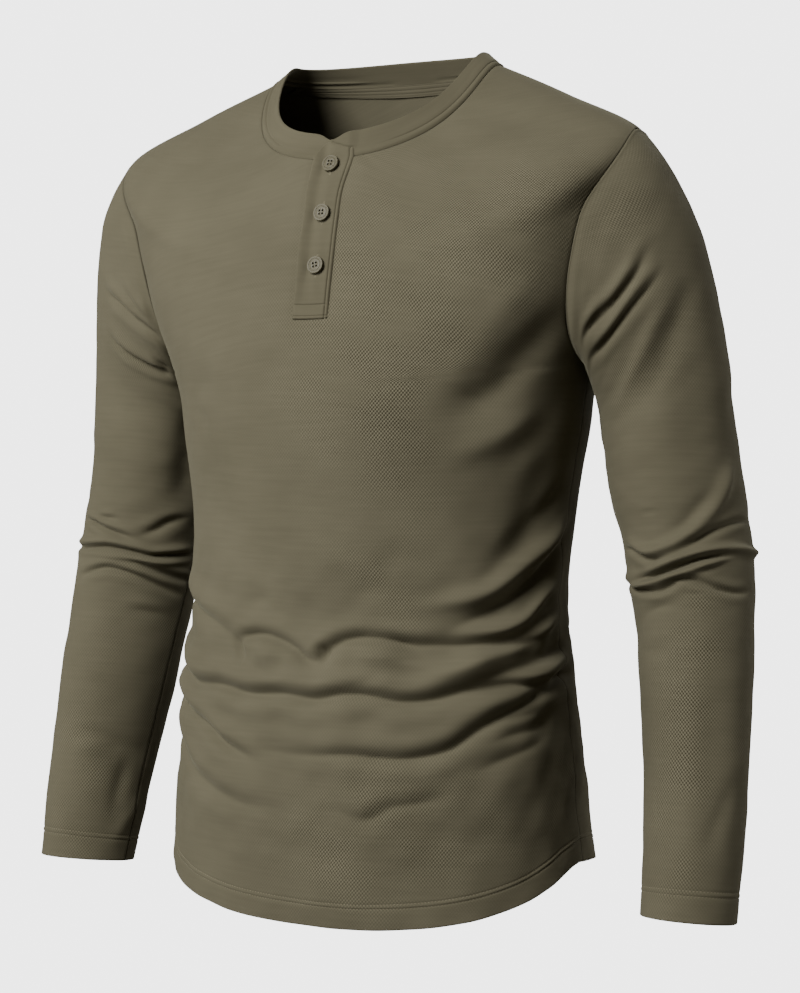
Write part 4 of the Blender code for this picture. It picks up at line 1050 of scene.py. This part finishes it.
def stitch_rows(name, rows, material, pitch=2.7, length=2.1, radius=0.2, sink=0.05):
    """Thread laid in even stitches along rows of (points, normals), all in one mesh."""
    local, faces = [], []
    for place, size in STITCH_RINGS:
        for side in range(STITCH_SIDES):
            turn = 2*pi*side/STITCH_SIDES
            rise = sin(turn)*size - STITCH_DIVE*(2*place)**4
            local.append((place*length, cos(turn)*radius*size, rise*radius))
    local = np.array(local)*MM
    for ring in range(len(STITCH_RINGS) - 1):
        for side in range(STITCH_SIDES):
            here, after = ring*STITCH_SIDES + side, ring*STITCH_SIDES + (side + 1) % STITCH_SIDES
            faces.append((here, here + STITCH_SIDES, after + STITCH_SIDES, after))
    faces = np.array(faces)
    caps = np.array([range(STITCH_SIDES), range(len(local) - 1, len(local) - STITCH_SIDES - 1, -1)])
    points, quads, ends, count = [], [], [], 0
    for path, normals in rows:
        walked = lengths_along(path)
        places = np.arange(pitch*MM/2, walked[-1], pitch*MM)
        at = read_at(walked, path, places)
        heading = unit(read_at(walked, path, places + HEADING_STEP*MM)
                       - read_at(walked, path, places - HEADING_STEP*MM))
        side = unit(np.cross(read_at(walked, normals, places), heading))
        up = np.cross(heading, side)
        made = (at[:, None] - up[:, None]*sink*MM + heading[:, None]*local[None, :, :1]
                + side[:, None]*local[None, :, 1:2] + up[:, None]*local[None, :, 2:])
        points.append(made.reshape(-1, 3))
        for _ in places:
            quads.append(faces + count)
            ends.extend((caps + count).tolist())
            count += len(local)
    return piece_of(name, np.concatenate(points), np.concatenate(quads).tolist() + ends, material)


def line_across(grid, distance, at):
    """Points and normals of the line at one distance from a hem's edge, on a piece's outer grid."""
    normal = grid_normals(grid)
    points, normals = [], []
    for column in range(grid.shape[1]):
        order = np.argsort(distance[:, column])
        gap = distance[order, column]
        points.append(read_at(gap, grid[order, column], at))
        normals.append(read_at(gap, normal[order, column], at))
    return np.array(points), np.array(normals)


def hem_stitches(name, hems, material):
    """Twin-needle stitches along the hems of pieces given by their outer grids and edge distances."""
    rows = [line_across(grid, distance, line) for grid, distance in hems for line in HEM_LINES]
    piece = stitch_rows(name, rows, material)
    return piece


# ---------------------------------------------------------------- materials


def linear(hex_colour):
    """Linear colour of an sRGB hex value."""
    values = [int(hex_colour[place:place + 2], 16)/255 for place in (1, 3, 5)]
    return tuple(v/12.92 if v <= 0.04045 else ((v + 0.055)/1.055)**2.4 for v in values) + (1.0,)


def add(tree, kind, inputs=(), **settings):
    """Adds a node with its settings. Each input gets a value, or a link from another node's output."""
    node = tree.nodes.new(kind)
    for name, value in settings.items():
        setattr(node, name, value)
    for name, value in dict(inputs).items():
        if isinstance(value, bpy.types.NodeSocket):
            tree.links.new(value, node.inputs[name])
        else:
            node.inputs[name].default_value = value
    return node


def reckon(tree, operation, *terms, kind="ShaderNodeMath"):
    """Result of an operation on numbers and other nodes' outputs."""
    return add(tree, kind, enumerate(terms), operation=operation).outputs[0]


def noise(tree, place, scale, detail, **inputs):
    return add(tree, "ShaderNodeTexNoise", {"Vector": place, "Scale": scale, "Detail": detail, **inputs})


def blended(tree, share, first, second):
    """Colour between the first and the second."""
    return add(tree, "ShaderNodeMix", {0: share, 6: first, 7: second}, data_type="RGBA").outputs[2]


def principled(name, **values):
    material = bpy.data.materials.new(name)
    material.use_nodes = True
    shader = material.node_tree.nodes["Principled BSDF"]
    for label, value in values.items():
        shader.inputs[label.replace("_", " ")].default_value = value
    return material, material.node_tree, shader


def finish(tree, shader, colour, height, strength, distance):
    """Gives a shader its colour and the bump of a height, whose full relief is distance metres."""
    bump = add(tree, "ShaderNodeBump", {"Strength": strength, "Distance": distance, "Height": height})
    tree.links.new(bump.outputs["Normal"], shader.inputs["Normal"])
    tree.links.new(colour, shader.inputs["Base Color"])


COURSE_RATIO = 0.86    # width of a wale as a share of a course's height
TWILL = 0.12           # how much the cells lean into slanting rows
NAP = 0.7              # height of the nap, beside that of the cells
# How far the colour moves between dark and light with the yarn's slubs and the dye, and how dark the
# painted shade makes the cloth where a seam draws it in
SLUBS, UNEVEN_DYE, PAINTED_SEAM_SHADE = 0.14, 0.30, 0.90


def knit_pique(name, dark, light, wale=2.7, relief=0.30, dots=0.50):
    """Cotton piqué knit, piece-dyed olive. Its raised cells stand in staggered rows, which the eye
    reads as a fine grain of pale dots in some patches and as plain cloth in others; the nap gives a
    soft, slightly pale sheen at the limbs. The real cells are finer than 2 mm and are drawn 2.7 mm
    apart so that they show. relief is their height in millimetres, and dots is how much paler their
    tops are."""
    material, tree, shader = principled(
        name, Roughness=0.92, Metallic=0.0, IOR=1.45, Specular_IOR_Level=0.22, Sheen_Weight=0.22,
        Sheen_Roughness=0.45, Sheen_Tint=linear("#B9B79F"))
    flat = add(tree, "ShaderNodeUVMap", uv_map="flat").outputs["UV"]
    # the rows wander a little
    wander = reckon(tree, "SUBTRACT", noise(tree, flat, 9.0, 2.0).outputs["Color"], (0.5, 0.5, 0.5),
                    kind="ShaderNodeVectorMath")
    wander = add(tree, "ShaderNodeVectorMath", {0: wander, "Scale": 0.003}, operation="SCALE").outputs[0]
    place = reckon(tree, "ADD", flat, wander, kind="ShaderNodeVectorMath")
    split = add(tree, "ShaderNodeSeparateXYZ", {0: place})
    turn = 2*pi/(wale*MM)
    wales = reckon(tree, "MULTIPLY", split.outputs["X"], turn)
    courses = reckon(tree, "MULTIPLY", split.outputs["Y"], turn*COURSE_RATIO)
    cells = reckon(tree, "MULTIPLY", reckon(tree, "COSINE", wales), reckon(tree, "COSINE", courses))
    slant = reckon(tree, "COSINE", reckon(tree, "SUBTRACT", wales, courses))
    cells = reckon(tree, "MULTIPLY_ADD", slant, TWILL, cells)
    # they stand up in patches
    pressing = noise(tree, flat, 21.0, 3.0).outputs["Fac"]
    patches = add(tree, "ShaderNodeMapRange", {"Value": pressing, "From Min": 0.36, "From Max": 0.56,
                                               "To Min": 0.30}).outputs[0]
    raised = add(tree, "ShaderNodeAttribute", attribute_name="raised").outputs["Fac"]
    grain = reckon(tree, "MULTIPLY", cells, reckon(tree, "MULTIPLY", raised, patches))
    fuzz = noise(tree, flat, 1300.0, 2.0, Roughness=0.6).outputs["Fac"]
    height = reckon(tree, "MULTIPLY_ADD", fuzz, NAP, grain)
    # slubs lie along the courses, and the dye takes unevenly over a hand's breadth
    stretched = add(tree, "ShaderNodeMapping", {"Vector": flat, "Scale": (20.0, 280.0, 1.0)}).outputs[0]
    slubs = noise(tree, stretched, 1.0, 3.0, Roughness=0.55).outputs["Fac"]
    clouds = noise(tree, flat, 11.0, 3.0).outputs["Fac"]
    tone = reckon(tree, "ADD", reckon(tree, "MULTIPLY_ADD", grain, dots, 0.5),
                  reckon(tree, "MULTIPLY_ADD", slubs, SLUBS, -SLUBS/2))
    tone = reckon(tree, "ADD", tone, reckon(tree, "MULTIPLY_ADD", clouds, UNEVEN_DYE, -UNEVEN_DYE/2))
    colour = blended(tree, tone, linear(dark), linear(light))
    # painted shade: beside the seams the colour darkens towards near black, where shade falls in the
    # seam's dip
    seam = add(tree, "ShaderNodeAttribute", attribute_name="seam").outputs["Fac"]
    colour = blended(tree, reckon(tree, "MULTIPLY", seam, PAINTED_SEAM_SHADE), colour, linear("#15130B"))
    finish(tree, shader, colour, height, 0.6, relief*MM)
    return material


def sewing_thread(name, colour):
    """Spun polyester thread: smooth enough for a dull highlight along each stitch."""
    material, tree, shader = principled(name, Roughness=0.6, Metallic=0.0, IOR=1.5)
    place = add(tree, "ShaderNodeTexCoord").outputs["Object"]
    twist = noise(tree, place, 2600.0, 1.0).outputs["Fac"]
    finish(tree, shader, blended(tree, twist, linear(colour), linear("#8A836B")), twist, 0.3, 0.00005)
    return material


def button_resin(name):
    """Moulded polyester resin dyed through, turned and tumbled to a satin surface: faint clouds in
    the colour, and a soft highlight round the rim."""
    material, tree, shader = principled(name, Roughness=0.46, Metallic=0.0, IOR=1.54,
                                        Specular_IOR_Level=0.26)
    place = add(tree, "ShaderNodeTexCoord").outputs["Object"]
    clouds = noise(tree, place, 260.0, 4.0, Distortion=0.6).outputs["Fac"]
    grain = noise(tree, place, 4200.0, 2.0).outputs["Fac"]
    finish(tree, shader, blended(tree, clouds, linear("#4A4633"), linear("#645F4B")), grain, 0.12, 0.00004)
    return material


def studio_paper(name):
    """Matt seamless paper, lit so evenly that it shows no shadow: only its own glow is seen."""
    return principled(name, Roughness=0.95, Metallic=0.0, IOR=1.45, Base_Color=linear("#101010"),
                      Specular_IOR_Level=0.0, Emission_Color=(1, 1, 1, 1),
                      Emission_Strength=PAPER_GLOW)[0]


# ---------------------------------------------------------------- buttons

BUTTON_DEPTH, BUTTON_MIDDLE = 2.2, -0.8        # of the blank, over the button's back and face
# Insets of the face, from the rim inwards, and how far each rises or drops
FACE_STEPS = ((0.35, 0.22), (1.15, 0.0), (0.30, -0.42), (0.42, 0.0), (0.28, 0.34))
HOLE_RADIUS, HOLE_PLACE = 0.85, 1.35
BUTTON_SUNK = 0.7      # how far the thread pulls a button into the cloth


def select_faces(mesh_object, chosen):
    """Leaves only the faces that chosen(normal) picks selected, in edit mode."""
    bpy.context.view_layer.objects.active = mesh_object
    bpy.ops.object.mode_set(mode="EDIT")
    bpy.ops.mesh.select_mode(type="FACE")
    bpy.ops.mesh.select_all(action="DESELECT")
    edit = bmesh.from_edit_mesh(mesh_object.data)
    for face in edit.faces:
        face.select = chosen(face.normal)
    bmesh.update_edit_mesh(mesh_object.data)


def turned_button(material):
    """One button at the origin: a rounded rim, a fine groove inside it and a level middle with four
    holes, whose edges are eased."""
    bpy.ops.object.select_all(action="DESELECT")
    bpy.ops.mesh.primitive_cylinder_add(vertices=64, radius=BUTTON_RADIUS*MM, depth=BUTTON_DEPTH*MM,
                                        location=(0, 0, BUTTON_MIDDLE*MM))
    button = bpy.context.object
    select_faces(button, lambda normal: normal.z > 0.9)
    for inset, drop in FACE_STEPS:
        bpy.ops.mesh.inset(thickness=inset*MM, depth=drop*MM)
    select_faces(button, lambda normal: normal.z < -0.9)
    bpy.ops.mesh.inset(thickness=1.0*MM, depth=0.3*MM)
    bpy.ops.object.mode_set(mode="OBJECT")
    bpy.ops.object.select_all(action="DESELECT")
    holes = []
    for across, up in ((1, 1), (-1, 1), (-1, -1), (1, -1)):
        bpy.ops.mesh.primitive_cylinder_add(vertices=20, radius=HOLE_RADIUS*MM, depth=8*MM,
                                            location=(across*HOLE_PLACE*MM, up*HOLE_PLACE*MM, 0))
        holes.append(bpy.context.object)
    bpy.context.view_layer.objects.active = button
    for hole in holes:
        cut = button.modifiers.new("hole", "BOOLEAN")
        cut.operation, cut.solver, cut.object = "DIFFERENCE", "EXACT", hole
        bpy.ops.object.modifier_apply(modifier=cut.name)
        bpy.data.objects.remove(hole, do_unlink=True)
    ease = button.modifiers.new("eased edges", "BEVEL")
    ease.width, ease.segments = 0.12*MM, 2
    ease.limit_method, ease.angle_limit = "ANGLE", radians(28)
    bpy.ops.object.modifier_apply(modifier=ease.name)
    bpy.ops.object.select_all(action="DESELECT")
    button.select_set(True)
    bpy.ops.object.shade_smooth_by_angle(angle=radians(32))
    button.data.materials.append(material)
    return button


def seat_of(height):
    """Where a button sits on the placket: its middle and the way it faces."""
    level = centre_level(height)
    normal = normals_of(strip_form, np.array(BUTTON_ACROSS), np.array(level), step=0.004)
    middle = strip_form(BUTTON_ACROSS, level)
    spread = np.linspace(-BUTTON_RADIUS, BUTTON_RADIUS, 9)
    under = strip_form(*np.meshgrid(BUTTON_ACROSS + spread, centre_level(height + spread)))
    proud = np.max((under - middle) @ normal)
    centre = Vector(middle + normal*(proud + (BUTTON_RISE - BUTTON_BACK - BUTTON_SUNK)*MM))
    return centre, Vector(normal)


def buttons(resin, thread):
    pattern = turned_button(resin)
    for number, height in enumerate(BUTTON_HEIGHTS, start=1):
        centre, facing = seat_of(height)
        piece = bpy.data.objects.new(f"button_{number}_resin", pattern.data.copy())
        bpy.context.collection.objects.link(piece)
        turned = facing.to_track_quat("Z", "Y").to_matrix().to_4x4()
        place = Matrix.Translation(centre) @ turned @ Matrix.Rotation(radians(7*number - 10), 4, "Z")
        piece.data.transform(place)
        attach(piece, "root")
        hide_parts(f"button_{number}")
        rows = []
        for side in (-HOLE_PLACE, HOLE_PLACE):
            ends = [place @ Vector((side*MM, end*MM, 0.12*MM)) for end in (-1.5, 1.5)]
            path = np.array([tuple(ends[0].lerp(ends[1], share)) for share in (0, 0.5, 1)])
            rows.append((path, np.repeat([tuple(facing)], 3, 0)))
        stitch_rows(f"button_{number}_thread", rows, thread, pitch=3.0, length=2.6, radius=0.30)
    bpy.data.objects.remove(pattern, do_unlink=True)


def on_placket(across, height, rise):
    """Points and normals over the front's centre, at distances across it and at heights."""
    across, level = together(across, centre_level(height))
    normal = normals_of(strip_form, across, level)
    return strip_form(across, level) + normal*rise*MM, normal


def buttonholes(thread):
    """Satin stitches round each upright slit, of which the ends show above and below the button."""
    slits = [on_placket(BUTTON_ACROSS + side, height + np.linspace(-9.6, 9.6, 24), PLACKET_RISE - 0.15)
             for height in BUTTON_HEIGHTS for side in (-0.55, 0.55)]
    bars = [on_placket(BUTTON_ACROSS + np.linspace(-1.1, 1.1, 3), height + end, PLACKET_RISE - 0.1)
            for height in BUTTON_HEIGHTS for end in (-9.8, -9.3, 9.3, 9.8)]
    for piece in (
            stitch_rows("buttonhole_edges", slits, thread, pitch=0.8, length=1.2, radius=0.42, sink=0.0),
            stitch_rows("buttonhole_bars", bars, thread, pitch=2.2, length=2.2, radius=0.34, sink=0.0)):
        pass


# ---------------------------------------------------------------- studio

AMBIENT = 0.085
PAPER_GLOW = 3.85      # brings the paper to the same pale grey as the air behind it
FLOOR_RADIUS, FLOOR_HEIGHT = 9.0, -1.45
Lamp = namedtuple("Lamp", "name azimuth elevation distance size power")
LAMPS = (
    Lamp("key softbox", -40, 31, 2.6, 1.3, 103.0),
    Lamp("low left panel", -88, -18, 2.6, 1.4, 27.0),
    Lamp("right fill panel", 84, 4, 2.6, 1.6, 20.0),
    Lamp("rim strip", 128, 22, 2.6, 0.9, 10.0),
)
LAMP_AIM = Vector((0, 0, -0.32))
CAMERA_AZIMUTH, CAMERA_ELEVATION, CAMERA_DISTANCE = 28.0, 2.24, 1.78
CAMERA_AIM = Vector((0.0182, 0.0097, -0.3396))
FOCAL_PIXELS, FRAME_HEIGHT_PIXELS, SENSOR = 2156.0, 993.0, 36.0


def place_studio(name, data, aim, azimuth, elevation, distance):
    """Puts a camera or a lamp where it faces its aim, by degrees round from the camera and up."""
    turn, rise = radians(CAMERA_AZIMUTH + azimuth), radians(elevation)
    heading = Vector((sin(turn)*cos(rise), -cos(turn)*cos(rise), sin(rise)))
    thing = bpy.data.objects.new(name, data)
    thing.location = aim + heading*distance
    thing.rotation_euler = heading.to_track_quat("Z", "Y").to_euler()
    bpy.context.collection.objects.link(thing)
    return thing


def studio():
    lens = bpy.data.cameras.new("camera")
    lens.lens = FOCAL_PIXELS/FRAME_HEIGHT_PIXELS*SENSOR
    lens.sensor_width = SENSOR
    lens.clip_end = 40.0
    bpy.context.scene.camera = place_studio("camera", lens, CAMERA_AIM, 0.0, CAMERA_ELEVATION,
                                            CAMERA_DISTANCE)
    for lamp in LAMPS:
        light = bpy.data.lights.new(lamp.name, "AREA")
        light.shape, light.size, light.energy = "DISK", lamp.size, lamp.power
        place_studio(lamp.name, light, LAMP_AIM, lamp.azimuth, lamp.elevation, lamp.distance)

    bpy.ops.object.select_all(action="DESELECT")
    bpy.ops.mesh.primitive_circle_add(vertices=96, radius=FLOOR_RADIUS, fill_type="NGON",
                                      location=(0, 0, FLOOR_HEIGHT))
    floor = bpy.context.object
    floor.name = "studio_floor"
    floor.data.materials.append(studio_paper("matt seamless studio paper"))
    bpy.ops.object.transform_apply(location=True, rotation=True, scale=True)
    floor.visible_diffuse = floor.visible_glossy = False

    world = bpy.data.worlds.new("studio air")
    bpy.context.scene.world = world
    world.use_nodes = True
    tree = world.node_tree
    dim = tree.nodes["Background"]
    dim.inputs["Color"].default_value = linear("#F0E4CC")
    dim.inputs["Strength"].default_value = AMBIENT
    seen = add(tree, "ShaderNodeBackground", {"Color": (1, 1, 1, 1), "Strength": PAPER_GLOW})
    ray = add(tree, "ShaderNodeLightPath").outputs["Is Camera Ray"]
    mix = add(tree, "ShaderNodeMixShader", {0: ray, 1: dim.outputs[0], 2: seen.outputs[0]})
    tree.links.new(mix.outputs[0], tree.nodes["World Output"].inputs["Surface"])


# ---------------------------------------------------------------- the shirt


def make_shirt():
    body_knit = knit_pique("olive cotton piqué knit", "#2C291A", "#77725E")
    # the band and placket knit is a shade darker than the body's: painted shade, which keeps them from
    # showing lighter than the body cloth round them
    band_knit = knit_pique("olive cotton piqué knit, doubled", "#2B2819", "#746F5B", 2.1, 0.10, 0.0)
    tape_cotton = knit_pique("olive cotton twill tape", "#2A2719", "#716C59", 1.8, 0.20, 0.0)
    thread = sewing_thread("olive spun polyester thread", "#6A644E")
    resin = button_resin("moulded polyester resin button")

    front, *front_hem = panel(False, body_knit)
    back, *back_hem = panel(True, body_knit)
    left, *left_cuff = sleeve(LEFT, body_knit)
    right, *right_cuff = sleeve(RIGHT, body_knit)
    band = neckband(band_knit)
    strip, ply = placket_strips(band_knit)
    tape = neck_tape(tape_cotton)
    hem_thread = hem_stitches("hem_stitches", (front_hem, back_hem), thread)
    left_thread = hem_stitches("cuff_stitches_left", (left_cuff,), thread)
    right_thread = hem_stitches("cuff_stitches_right", (right_cuff,), thread)
    buttons(resin, thread)
    buttonholes(thread)


make_shirt()
studio()
